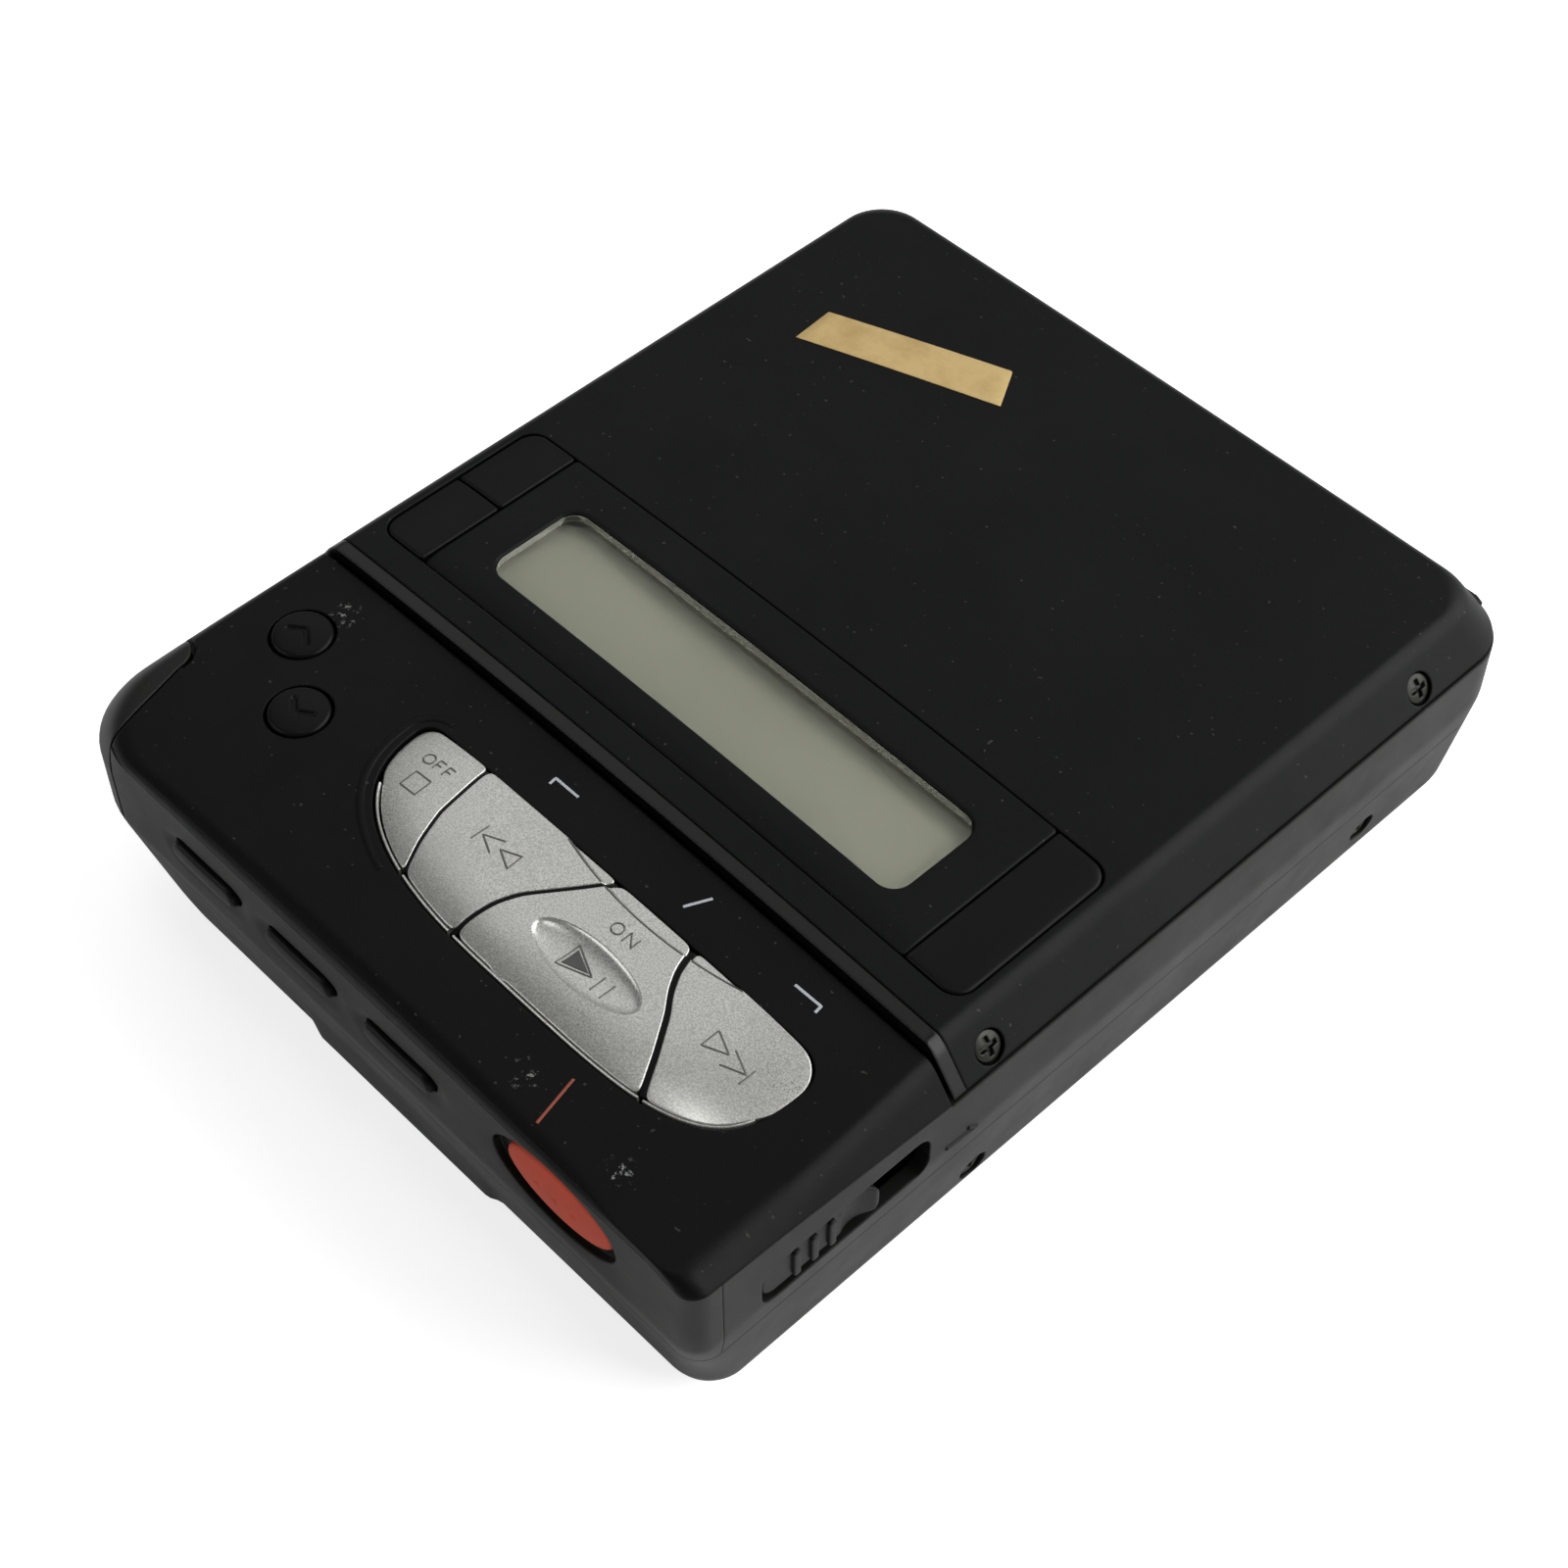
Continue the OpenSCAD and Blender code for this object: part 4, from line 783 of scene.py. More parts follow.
def cluster_outline(g, n=160):
    """Outline of the silver keys grown by g: a super-ellipse in front, straight at the rear, with round rear
    corners."""
    a = np.pi * np.arange(n + 1) / n
    power = np.where(np.cos(a) < 0, BOW_LEFT, BOW_RIGHT)
    x = CLUSTER_X + np.sign(np.cos(a)) * (CLUSTER_RX + g) * np.abs(np.cos(a)) ** (2 / power)
    y = CLUSTER_Y - (CLUSTER_RY + g) * np.abs(np.sin(a)) ** (2 / power)
    rear = CLUSTER_Y + 0.5 + g
    front = np.column_stack([x, y])[::-1]
    stop = np.where(front[:, 0] > CLUSTER_X, rear - REAR_RIGHT - g, rear - REAR_LEFT - g)
    front = front[front[:, 1] < stop]
    quarter = np.radians(np.linspace(0, 90, 12))
    arc = np.column_stack([np.cos(quarter), np.sin(quarter)])
    right = arc * (REAR_RIGHT + g) + [CLUSTER_X + CLUSTER_RX - REAR_RIGHT, rear - REAR_RIGHT - g]
    left = (arc[::-1] * [-REAR_LEFT - g, REAR_LEFT + g]
            + [CLUSTER_X - CLUSTER_RX + REAR_LEFT, rear - REAR_LEFT - g])
    return np.concatenate([front, right, left])


lid_shell()
lid_barrel()
lid_front_lip()
deck_shell()


def even_outline(corners, n):
    """n points spread evenly along a closed line through the corners."""
    loop = np.concatenate([corners, corners[:1]])
    reach = np.concatenate([[0], np.cumsum(np.linalg.norm(np.diff(loop, axis=0), axis=1))])
    at = np.linspace(0, reach[-1], n, endpoint=False)
    return np.column_stack([np.interp(at, reach, loop[:, k]) for k in (0, 1)])


def inward(outline):
    """Unit normals that point into a counter-clockwise outline."""
    along = np.roll(outline, -1, 0) - np.roll(outline, 1, 0)
    along /= np.linalg.norm(along, axis=1)[:, None]
    return np.column_stack([-along[:, 1], along[:, 0]])


def key_cap(name, outline, height, base, fillet, finish, rings=18, steps=5, middle=None):
    """Key cap: a wall up the outline, a quarter round of radius fillet, then rings drawn in to the middle,
    each point at height(x, y). base is the height of its underside."""
    normal = inward(outline)
    middle = outline.mean(0) if middle is None else np.asarray(middle, float)
    rows = [at_height(outline, base)]
    for a in np.radians(np.linspace(0, 90, steps + 1)):
        at = outline + normal * fillet * (1 - math.cos(a))
        rows.append(np.column_stack([at, height(at[:, 0], at[:, 1]) - fillet * (1 - math.sin(a))]))
    edge = outline + normal * fillet
    for s in 1 - (1 - np.linspace(0, 1, rings + 1)[1:-1]) ** 1.3:
        at = middle + (edge - middle) * (1 - s)
        rows.append(np.column_stack([at, height(at[:, 0], at[:, 1])]))
    n = len(outline)
    faces = grid_faces(len(rows), n) + [list(range(n - 1, -1, -1))]
    tip = len(rows) * n
    ring = np.arange(n) + tip - n
    faces += np.column_stack([ring, np.roll(ring, -1), np.full(n, tip)]).tolist()
    top = [[*middle, float(height(np.array(middle[0]), np.array(middle[1])))]]
    return new_piece(name, np.concatenate(rows + [np.array(top)]), faces, finish)


DISH = (14.0, -38.3, 6.35, 2.45)
DISH_DEPTH = 0.66
ARC_X, ARC_Y, ARC_HALF, ARC_SAG = 13.9, -30.5, 11.2, 1.5
KEY_RISE, ROLL_FROM, ROLL_DROP, STEP_DROP = 0.55, 0.58, 0.95, 0.34


def cluster_near(x, y):
    """1 on the bowed front of the silver keys, less inside it."""
    power = np.where(x < CLUSTER_X, BOW_LEFT, BOW_RIGHT)
    return ((np.abs(x - CLUSTER_X) / CLUSTER_RX) ** power
            + (np.maximum(CLUSTER_Y - y, 0) / CLUSTER_RY) ** power) ** (1 / power)


def arc_line(x):
    """Y of the shallow arc along the rear of the silver keys: a parabola that sags forwards."""
    return ARC_Y - ARC_SAG * (1 - ((x - ARC_X) / ARC_HALF) ** 2)


def cluster_height(x, y):
    """Top of the silver keys: the deck's crown, raised, rolling off to the bowed front, and stepped down
    behind the shallow arc at the rear."""
    roll = np.maximum(cluster_near(x, y) - ROLL_FROM, 0) / (1 - ROLL_FROM)
    step = smooth_step(0.0, 0.3, y - arc_line(x)) * smooth_step(ARC_HALF, ARC_HALF - 0.8, np.abs(x - ARC_X))
    return crown(DECK_TOP, x) + KEY_RISE - ROLL_DROP * roll ** 2.3 - STEP_DROP * step


def play_height(x, y):
    """The play key also has an oval dish with a crisp rim."""
    dish = ((x - DISH[0]) / DISH[2]) ** 2 + ((y - DISH[1]) / DISH[3]) ** 2
    return cluster_height(x, y) - DISH_DEPTH * np.maximum(1 - dish, 0) ** 0.55


# Lines between the silver keys: X at each depth in front of the cluster's axis
SPLITS = {
    "left_end": [[-60, -2], [-60, 20]],
    "left": [[-7.7, -2], [-7.6, 1], [-7, 5.6], [-5.9, 8.8], [-4.6, 11.5], [-4, 14], [-3, 20]],
    "middle": [[10.2, -2], [9.2, 0], [7.5, 2.5], [5.9, 4.7], [4.6, 6.5], [3.8, 8.6], [3.4, 11.1], [3.4, 20]],
    "right": [[18.8, -2], [19.0, 0], [19.7, 2.2], [20.8, 4.0], [22.2, 5.6], [24.4, 8.9], [26.6, 12.8],
              [30, 20]],
    "right_end": [[60, -2], [60, 20]],
}
LIP_ROOM, CAP_BASE, DISH_BASE = 0.5, 24.36, 25.5
SPLIT_GAP = {"left_end": 0.0, "left": 0.36, "middle": 0.46, "right": 0.66, "right_end": 0.0}


def split_x(line, depth):
    """Where a split line stands at a depth in front of the cluster's axis."""
    points = np.array(SPLITS[line], float)
    return np.interp(depth, points[:, 1], points[:, 0])


def key_region(left, right, n=320):
    """Outline of one silver key: at each depth from the rear edge, the cluster's width between two split
    lines, drawn in at the front for the lip."""
    loop = cluster_outline(0.0, 400)
    loop = loop + inward(loop) * LIP_ROOM * smooth_step(-36.2, -39.0, loop[:, 1])[:, None]
    depth = np.linspace(-0.5, 13.4, 900)
    step = CLUSTER_Y - loop[:, 1]
    edges = []
    for arm in (loop[:, 0] <= CLUSTER_X, loop[:, 0] >= CLUSTER_X):
        order = np.argsort(step[arm])
        edges.append(np.interp(depth, step[arm][order], loop[arm][order, 0]))
    lo = np.maximum(split_x(left, depth) + SPLIT_GAP[left] / 2, edges[0])
    hi = np.minimum(split_x(right, depth) - SPLIT_GAP[right] / 2, edges[1])
    ok = hi > lo + 0.02
    lo, hi, y = lo[ok], hi[ok], CLUSTER_Y - depth[ok]
    return even_outline(np.concatenate([np.column_stack([lo, y]), np.column_stack([hi, y])[::-1]]), n)


def rounded(outline, radius, passes=60):
    """Outline with its corners eased: repeated neighbour means, pulled in by about the radius."""
    for _ in range(int(passes * radius)):
        outline = 0.5 * outline + 0.25 * (np.roll(outline, 1, 0) + np.roll(outline, -1, 0))
    return outline


SILVER = (("stop_key", "left_end", "left", "stop"), ("previous_key", "left", "middle", "previous"),
          ("play_key", "middle", "right", "play"), ("next_key", "right", "right_end", "next"))


def line_points(corners, closed, step=0.12):
    """Points every step or so along straight runs between corners."""
    corners = np.array(corners, float)
    ends = np.roll(corners, -1, 0) if closed else corners[1:]
    parts = [p + (q - p) * np.linspace(0, 1, max(2, int(np.linalg.norm(q - p) / step) + 1))[:-1, None]
             for p, q in zip(corners, ends)]
    return np.concatenate(parts + ([] if closed else [corners[-1:]]))


def ridges(name, lines, width, rise, height, finish, sink=0.12):
    """Low round-topped ridges along lines on a surface: across each line, with u from -1 to 1, the top is
    height + rise (1 - u u)."""
    u = np.linspace(-1, 1, 7)
    points, faces, start = [], [], 0
    for corners, closed in lines:
        path = line_points(corners, closed)
        ahead = np.roll(path, -1, 0) - np.roll(path, 1, 0) if closed else np.gradient(path, axis=0)
        ahead /= np.linalg.norm(ahead, axis=1)[:, None]
        across = np.column_stack([-ahead[:, 1], ahead[:, 0]])
        at = path[:, None, :] + across[:, None, :] * (u * width / 2)[None, :, None]
        top = height(at[..., 0], at[..., 1])
        rows = np.concatenate([at, (top + rise * (1 - u * u))[..., None]], -1)
        under = np.concatenate([at[:, [-1, 0]], (top[:, [-1, 0]] - sink)[..., None]], -1)
        ring = np.concatenate([rows, under], 1)[:, ::-1]
        n, m = ring.shape[:2]
        faces += (np.array(loop_faces(n, m) if closed else grid_faces(n, m)) + start).tolist()
        if not closed:
            last = start + (n - 1) * m
            faces += [list(range(start + m - 1, start - 1, -1)), list(range(last, last + m))]
        points.append(ring.reshape(-1, 3))
        start += n * m
    return new_piece(name, np.concatenate(points), faces, finish)


def letter_f(x, y, w, h):
    """Strokes of an F from its lower left corner."""
    return [([(x, y), (x, y + h), (x + w, y + h)], False),
            ([(x, y + 0.52 * h), (x + 0.8 * w, y + 0.52 * h)], False)]


# Strokes of the raised signs, each with whether it closes
GLYPHS = {
    "stop_key": [([(-12.25, -36.9), (-10.2, -36.9), (-10.2, -35.0), (-12.25, -35.0)], True),
                 (oval(-12.5, -33.3, 0.58, 0.55), True)] + letter_f(-11.5, -33.85, 0.75, 1.1)
                + letter_f(-10.25, -33.85, 0.75, 1.1),
    "previous_key": [([(-2.85, -36.6), (-2.75, -34.6)], False),
                     ([(-0.5, -36.5), (-2.45, -35.6), (-0.45, -34.7)], False),
                     ([(-0.15, -35.6), (1.85, -36.55), (1.8, -34.75)], True)],
    "play_key": [([(11.75, -39.8), (14.9, -38.5), (11.85, -37.1)], True),
                 ([(15.75, -39.5), (15.75, -37.7)], False), ([(16.95, -39.5), (16.95, -37.7)], False),
                 (oval(13.05, -33.9, 0.58, 0.58), True),
                 ([(14.2, -34.5), (14.2, -33.3), (15.3, -34.5), (15.3, -33.3)], False)],
    "next_key": [([(26.3, -36.65), (28.5, -35.6), (26.3, -34.65)], True),
                 ([(28.6, -36.8), (30.75, -35.8), (28.55, -34.9)], False),
                 ([(30.95, -36.85), (31.0, -35.0)], False)],
}


def front_rim(left, right):
    """Middle line of the thin lip along the bowed front of one silver key."""
    arc = cluster_outline(-0.16, 400)
    depth = CLUSTER_Y - arc[:, 1]
    ok = ((depth > 7.0) & (arc[:, 0] > split_x(left, depth) + 0.25)
          & (arc[:, 0] < split_x(right, depth) - 0.25))
    return arc[ok]


def rear_arc(left, right):
    """The part of the shallow arc at the rear that lies on one silver key."""
    x = np.linspace(3.0, 24.8, 160)
    y = arc_line(x) - 0.03
    depth = CLUSTER_Y - y
    ok = ((x > split_x(left, depth) + SPLIT_GAP[left] / 2 + 0.1)
          & (x < split_x(right, depth) - SPLIT_GAP[right] / 2 - 0.1))
    return np.column_stack([x, y])[ok]


def bed_height(x, y):
    """Top of the ribs between the silver keys, a little below the keys."""
    return cluster_height(x, y) - 0.16


def rim_height(x, y):
    """Foot of the thin lips in front of the silver keys."""
    return crown(DECK_TOP, x) - 0.12


def key_bed():
    """Black ribs of the deck between the silver keys, a little below their tops."""
    for line in ("left", "middle", "right"):
        depth = np.linspace(-0.3, 13.2, 80)
        path = np.column_stack([split_x(line, depth), CLUSTER_Y - depth])
        path = path[cluster_near(*path.T) < 0.97]
        width = SPLIT_GAP[line] - 0.06
        rib = ridges(f"key_bed_{line}", [(path, False)], width, 0.0, bed_height, "key_black", 1.4)
        finish_piece(rib, "body", "key_black")


def silver_keys():
    """Silver keys with raised signs, and a thin lip in front of each beyond a dark line; a grey line along
    the rear arc and a grey triangle in the play sign are painted shade.
    """
    for node, left, right, body in SILVER:
        height = play_height if node == "play_key" else cluster_height
        outline = rounded(key_region(left, right), 0.3)
        cap = key_cap(node + "_cap", outline, cluster_height, CAP_BASE, 0.1, "key_silver", rings=72)
        if node == "play_key":
            carve(cap, prism("dish", oval(*DISH, 160), DISH_BASE + 0.1, HIGH))
        finish_piece(cap, body, "key_silver", node)
        # A grey line, raised by a hair, is painted along the rear arc as the shade in the groove there
        painted_crease_line = rear_arc(left, right)
        if len(painted_crease_line):
            painted_crease_line = ridges(node + "_crease", [(painted_crease_line, False)], 0.16, 0.015, cluster_height, "painted_shade_grey",
                            0.1)
            finish_piece(painted_crease_line, body, "key_silver")
        signs = ridges(node + "_signs", GLYPHS[node], 0.2, 0.05, height, "sign_silver")
        finish_piece(signs, body, "key_silver")
        rim = [(front_rim(left, right), False)]
        lip = ridges(node + "_lip", rim, 0.26, 0.14, rim_height, "key_silver", 1.5)
        finish_piece(lip, body, "key_silver")
    dish = key_cap("play_dish", oval(*DISH, 160), play_height, DISH_BASE, 0.03, "key_silver", rings=40,
                   steps=2, middle=DISH[:2])
    finish_piece(dish, "play", "key_silver")
    # A grey triangle laid just over the play key is painted shade: it stands for the shadow in a recessed
    # triangle
    mark = even_outline(np.array([(12.0, -39.4), (14.5, -38.45), (12.1, -37.45)]), 60)
    mark = key_cap("play_painted_shade", mark, lambda x, y: play_height(x, y) + 0.02, 26.0, 0.02, "painted_shade_grey",
                   rings=8)
    finish_piece(mark, "play", "key_silver")


def chevron_gap(x, y, tip):
    """Distance to a chevron of two strokes that meet at the origin and open away from tip: 1 up, -1 down."""
    far = np.array([1.35, -1.0 * tip])
    p = np.stack([np.abs(x), y], -1)
    t = np.clip((p @ far) / (far @ far), 0, 1)
    return np.linalg.norm(p - t[..., None] * far, axis=-1)


def volume_keys():
    """Two round keys: a shallow dome with a chevron cut into it."""
    for node, (cx, cy), tip in (("volume_up_key", VOLUME_AT[0], 1), ("volume_down_key", VOLUME_AT[1], -1)):

        def height(x, y):
            u, v = x - cx, y - cy
            dome = crown(DECK_TOP, cx) + 0.42 - 0.03 * (u * u + v * v)
            return dome - 0.22 * smooth_step(0.34, 0.16, chevron_gap(u, v - 0.45 * tip, tip))

        outline = disc(cx, cy, VOLUME_R, 128)
        cap = key_cap(node + "_cap", outline, height, CAP_BASE, 0.3, "key_black", rings=34)
        finish_piece(cap, node.replace("_key", ""), "key_black", node)


def lid_key_height(x, y):
    """Top of the lid keys: a little above the lid's crown, falling away towards the lid's side."""
    return crown(LID_TOP, x) + 0.12 - 0.02 * np.maximum(np.abs(x) - 34.5, 0) ** 2


def lid_keys():
    """Three flat keys beside the display, each with one pair of round outer corners and eased edges."""
    for node, side, y0, y1, r in (("rear_lid_key", -1, -8.9, 0.5, (0.3, 2.0, 0.3, 0.3)),
                                  ("front_lid_key", -1, -18.5, -9.1, (0.3, 0.3, 2.0, 0.3)),
                                  ("enter_key", 1, -18.5, 0.5, (2.0, 0.3, 0.3, 2.0))):
        outline = corner_box(*side_span(side, 31.6, 37.8), y0, y1, r, 8, 12)
        cap = key_cap(node + "_cap", outline, lid_key_height, 24.3, 0.30 if side > 0 else 0.22, "key_black")
        finish_piece(cap, node.replace("_key", ""), "key_black", node)


FRONT_KEYS = (("left_front_key", -20.9), ("middle_front_key", -7.5), ("right_front_key", 6.0))
FRONT_KEY_Z, FRONT_KEY_HALF, FRONT_KEY_R = 20.0, 4.5, 1.2
RECORD_AT, RECORD_R, KEY_GAP = (26.3, 21.3), (6.4, 3.2), 0.2
FRONT_CAP_BASE = -Y_FRONT - 1.4


def front_key_outline(cx, g, steps, along=1):
    """Outline of a long front key grown by g, in X and Z, with round ends."""
    wide, high = FRONT_KEY_HALF + g, FRONT_KEY_R + g
    low, top = FRONT_KEY_Z - high, FRONT_KEY_Z + high
    return corner_box(cx - wide, cx + wide, low, top, high - 0.01, steps, along)


def front_keys():
    """Three long keys with round ends and a slightly domed face."""
    for node, cx in FRONT_KEYS:

        def height(x, z):
            return -Y_FRONT + 0.33 + 0.2 - 0.09 * (z - FRONT_KEY_Z) ** 2 - 0.004 * (x - cx) ** 2

        outline = front_key_outline(cx, 0.0, 12, 10)
        cap = key_cap(node + "_cap", outline, height, FRONT_CAP_BASE, 0.42, "key_black")
        placed(cap, *ON_FRONT)
        finish_piece(cap, node.replace("_key", ""), "key_black", node)


def record_key():
    """Oval red key: a low dome with three small round dimples in a row."""
    cx, cz = RECORD_AT

    def height(x, z):
        u, v = x - cx, z - cz
        dimples = sum(np.exp(-((u - k) ** 2 + v ** 2) / 0.11) for k in (-2.2, 0.0, 2.2))
        return -Y_FRONT + 0.2 - 0.010 * u ** 2 - 0.035 * v ** 2 - 0.16 * dimples

    outline = oval(cx, cz, *RECORD_R, 120)
    cap = key_cap("record_key_cap", outline, height, FRONT_CAP_BASE, 0.35, "record_red", rings=36)
    placed(cap, *ON_FRONT)
    finish_piece(cap, "record", "record_red", "record_key")


silver_keys()
key_bed()
volume_keys()
lid_keys()
front_keys()
record_key()


def lean(z, full):
    """How far the walls have leaned in at height z below the belt, with the bend at the belt eased."""
    down = np.maximum(BELT_Z - z, 0)
    ease = 1.2
    return full / BELT_Z * np.where(down < ease, down ** 2 / (2 * ease), down - ease / 2)


def wall_ring(z, along=48, thick=0.0, side=0.0, rear_lean=0.0, nose=CORNER):
    """Outline of the leaning walls at height z, drawn in by thick for their inside, by side at the sides."""
    return case_ring(lean(z, SIDE_LEAN) + side + thick, lean(z, END_LEAN) + thick,
                     lean(z, rear_lean) + thick, along=along, draw=thick, nose=nose)


SCOOP_FLAT, SCOOP_END, SCOOP_BELOW, SCOOP_ABOVE, SCOOP_DEPTH = 3.2, 3.4, 3.0, 2.2, 0.42
HOLLOW_AT, HOLLOW_R, HOLLOW_DEPTH = (25.7, 20.5), (8.6, 5.0), 0.50


def scoop_depth(x, z):
    """Shallow hollows in the front face: long ones round the three keys, and a wider oval one round the
    record key."""
    depth = np.zeros_like(x)
    for _, cx in FRONT_KEYS:
        u = np.maximum(np.abs(x - cx) - SCOOP_FLAT, 0) / SCOOP_END
        w = (z - FRONT_KEY_Z) / np.where(z < FRONT_KEY_Z, SCOOP_BELOW, SCOOP_ABOVE)
        depth += SCOOP_DEPTH * smooth_step(1.0, 0.25, np.hypot(u, w))
    away = np.hypot((x - HOLLOW_AT[0]) / HOLLOW_R[0], (z - HOLLOW_AT[1]) / HOLLOW_R[1])
    return depth + HOLLOW_DEPTH * smooth_step(1.0, 0.45, away)


def front_ring(z, thick=0.0):
    """Outline of the front panel at height z: its left side follows the shoulder, its right is upright."""
    shoulder = max(z - LID_Z, 0.0) * SHOULDER / SLOPE_H
    ring = wall_ring(z, 150, thick, shoulder, nose=nose_round(z))
    ring[:, 0] += shoulder * smooth_step(0, 30, ring[:, 0])
    return ring


def front_shell():
    """Front panel: outlines of the case at many heights, hollowed round the keys, with the wall's inside
    behind them."""
    heights = np.concatenate([np.linspace(SEAM_Z + 0.03, 15.2, 8), np.linspace(15.5, 25.14, 36)])
    rows = []
    for z in heights:
        ring = front_ring(z)
        facing = smooth_step(-51.5, -52.2, ring[:, 1] - lean(z, END_LEAN))
        ring[:, 1] += facing * scoop_depth(ring[:, 0], np.full(len(ring), z))
        rows.append(at_height(ring, z))
    rows += [at_height(front_ring(z, WALL), z) for z in heights[::-1]]
    shell = new_piece("front_panel_shell", *loop_rings(rows), "case_black")
    through = -OUT, -48
    hole = oval(*RECORD_AT, RECORD_R[0] + KEY_GAP, RECORD_R[1] + KEY_GAP, 96)
    well = oval(25.8, 20.75, 7.6, 4.3, 96)
    corner = np.array([(OUT, HIGH), (SEAM_LINE[-1][0], HIGH), *SEAM_LINE[::-1]])
    carve(shell, slab("rear", -OUT, OUT, PANEL_WRAP - WRAP_GAP, FAR, 0.0, LID_Z + 0.01),
          slab("upper", -OUT, 38, SEAM_Y, FAR, LID_Z),
          slab("side", 37.9, OUT, PANEL_WRAP - WRAP_GAP, FAR, LID_Z - 0.1),
          prism("corner", corner, -FAR, SEAM_Y + 0.02, up="y"),
          edge_cutter(SEAM_Y, DECK_REAR, 37.8, OUT),
          prism("door", door_outline(DOOR_GAP), DOOR_LOW, HIGH),
          *[prism(node, front_key_outline(cx, KEY_GAP, 8), *through, up="y") for node, cx in FRONT_KEYS],
          prism("record", hole, *through, up="y"),
          prism("well", well, -OUT, Y_FRONT + 0.95, up="y"))
    finish_piece(shell, "body", "case_black", "front_panel")


front_shell()


PANEL = (-31.4, 31.4, -18.5, 0.62)
WINDOW = (-26.6, 26.6, -14.75, -3.85)
PANEL_R, WINDOW_R, WINDOW_GAP = 0.45, 2.0, 0.05


def panel_height(x, y):
    """Top of the display panel: the lid's crown, rolling down a little along its front."""
    return crown(LID_TOP, x) - 0.02 - 0.30 * smooth_step(-15.6, -19.2, y) ** 1.5


def grown_box(box, e, radius):
    """Round-cornered outline of a box from x0, x1, y0 and y1, grown by e."""
    return corner_box(box[0] - e, box[1] + e, box[2] - e, box[3] + e, radius, 8, 30)


def display_panel():
    """Panel round the display: an outer wall, an eased edge, rings that change from the panel's outline to
    the window's, then an eased edge down into the window."""
    deep, outer_ease, inner_ease = 1.3, 0.2, 0.3
    quarter = [(1 - math.cos(a), 1 - math.sin(a)) for a in np.radians(np.linspace(0, 90, 5))]
    edge = [(0.0, deep)] + [(outer_ease * c, outer_ease * s) for c, s in quarter]
    rings = [(grown_box(PANEL, -e, PANEL_R), drop) for e, drop in edge]
    start = grown_box(PANEL, -outer_ease, PANEL_R)
    end = grown_box(WINDOW, inner_ease, WINDOW_R + inner_ease)
    rings += [(start * (1 - s) + end * s, 0.0) for s in np.linspace(0, 1, 12)[1:-1]]
    edge = [(inner_ease * s, inner_ease * c) for c, s in quarter] + [(0.0, deep)]
    rings += [(grown_box(WINDOW, e, WINDOW_R + e), drop) for e, drop in edge]
    rows = [np.column_stack([at, panel_height(at[:, 0], at[:, 1]) - drop]) for at, drop in rings]
    panel = new_piece("display_panel_cover", *loop_rings(rows), "lid_black")
    finish_piece(panel, "lid", "lid_black", "display_panel")


def display_window():
    """Clear window: flush with the panel, with polished round edges."""
    outline = grown_box(WINDOW, -WINDOW_GAP, WINDOW_R - WINDOW_GAP)
    glass = key_cap("display_window_glass", outline, lambda x, y: panel_height(x, y) - 0.06, 26.05, 0.22,
                    "clear_window")
    finish_piece(glass, "lid", "clear_window", "lcd_window")


display_panel()
display_window()


def gold_label():
    """Blank foil label on the lid: a thin four-cornered sheet that follows the crown."""
    corners = np.array([(-29.3, 27.7), (-7.9, 34.7), (-10.5, 39.2), (-29.7, 32.7)])
    sheet = key_cap("gold_label", even_outline(corners, 160), lambda x, y: crown(LID_TOP, x) + 0.06, 27.0,
                    0.03, "foil_gold", rings=10, steps=2)
    finish_piece(sheet, "lid", "lid_black")


def ink_height(x, y):
    """The deck's crown, raised by a film of ink."""
    return crown(DECK_TOP, x) + 0.005


def printed_marks():
    """Thin printed lines on the deck, two corner brackets, a stroke between them and one red stroke, and a
    low rim round the left end of the silver keys."""
    white = [([(-3.1, -27.5), (-3.2, -26.7), (-0.2, -26.7)], False), ([(14.8, -28.1), (15.9, -25.7)], False),
             ([(27.0, -26.7), (30.0, -26.6), (30.1, -27.4)], False)]
    red = [([(22.5, -51.1), (21.4, -46.2)], False)]
    arc = cluster_outline(1.25, 240)
    arc = arc[arc[:, 0] < -6.0]
    arc = arc[np.argsort(np.arctan2(arc[:, 1] + 35.0, arc[:, 0] + 6.0) % (2 * np.pi))]
    marks = (("white_marks", white, 0.27, 0.02, "ink_white", 0.04),
             ("deck_rim", [(arc, False)], 0.8, 0.06, "deck_black", 0.05),
             ("red_mark", red, 0.26, 0.02, "ink_red", 0.04))
    for name, lines, width, rise, finish, sink in marks:
        finish_piece(ridges(name, lines, width, rise, ink_height, finish, sink), "body", "deck_black")


def right_wall(y, z):
    """How far out the right wall stands at height z."""
    return X_HALF - lean(z, SIDE_LEAN)


def release_arrow():
    """Raised arrow beside the slot of the lid release."""
    lines = [([(-24.0, 15.7), (-20.2, 15.3)], False), ([(-20.2, 15.3), (-21.4, 16.2)], False)]
    arrow = ridges("release_arrow", lines, 0.42, 0.16, right_wall, "case_black", 0.1)
    finish_piece(placed(arrow, *ON_RIGHT), "body", "case_black")


# Side, Y, Z and X of the screws in the walls
BODY_SCREWS = [(side, *at) for side in (-1, 1) for at in ((-18.5, 5.3, 40.9), (34.4, 7.0, 41.15))]


# Heights on the low foot in the front, and how far behind the front face it stands at each
FOOT_LINE = (0.0, 1.2, 9.0), (3.9, 2.9, 1.706)


def foot_push(x, z, front):
    """How far the low foot in the middle of the front stands out of the sloping wall."""
    line = np.interp(z, *FOOT_LINE)
    return smooth_step(FOOT_HALF + 0.8, FOOT_HALF - 0.8, np.abs(x)) * np.maximum(front - line, 0)


def base_round(z):
    """How far the round along the bottom's side and rear edges draws the wall in at height z."""
    up = max(BASE_ROUND - z, 0.0)
    return BASE_ROUND - math.sqrt(BASE_ROUND ** 2 - up ** 2)


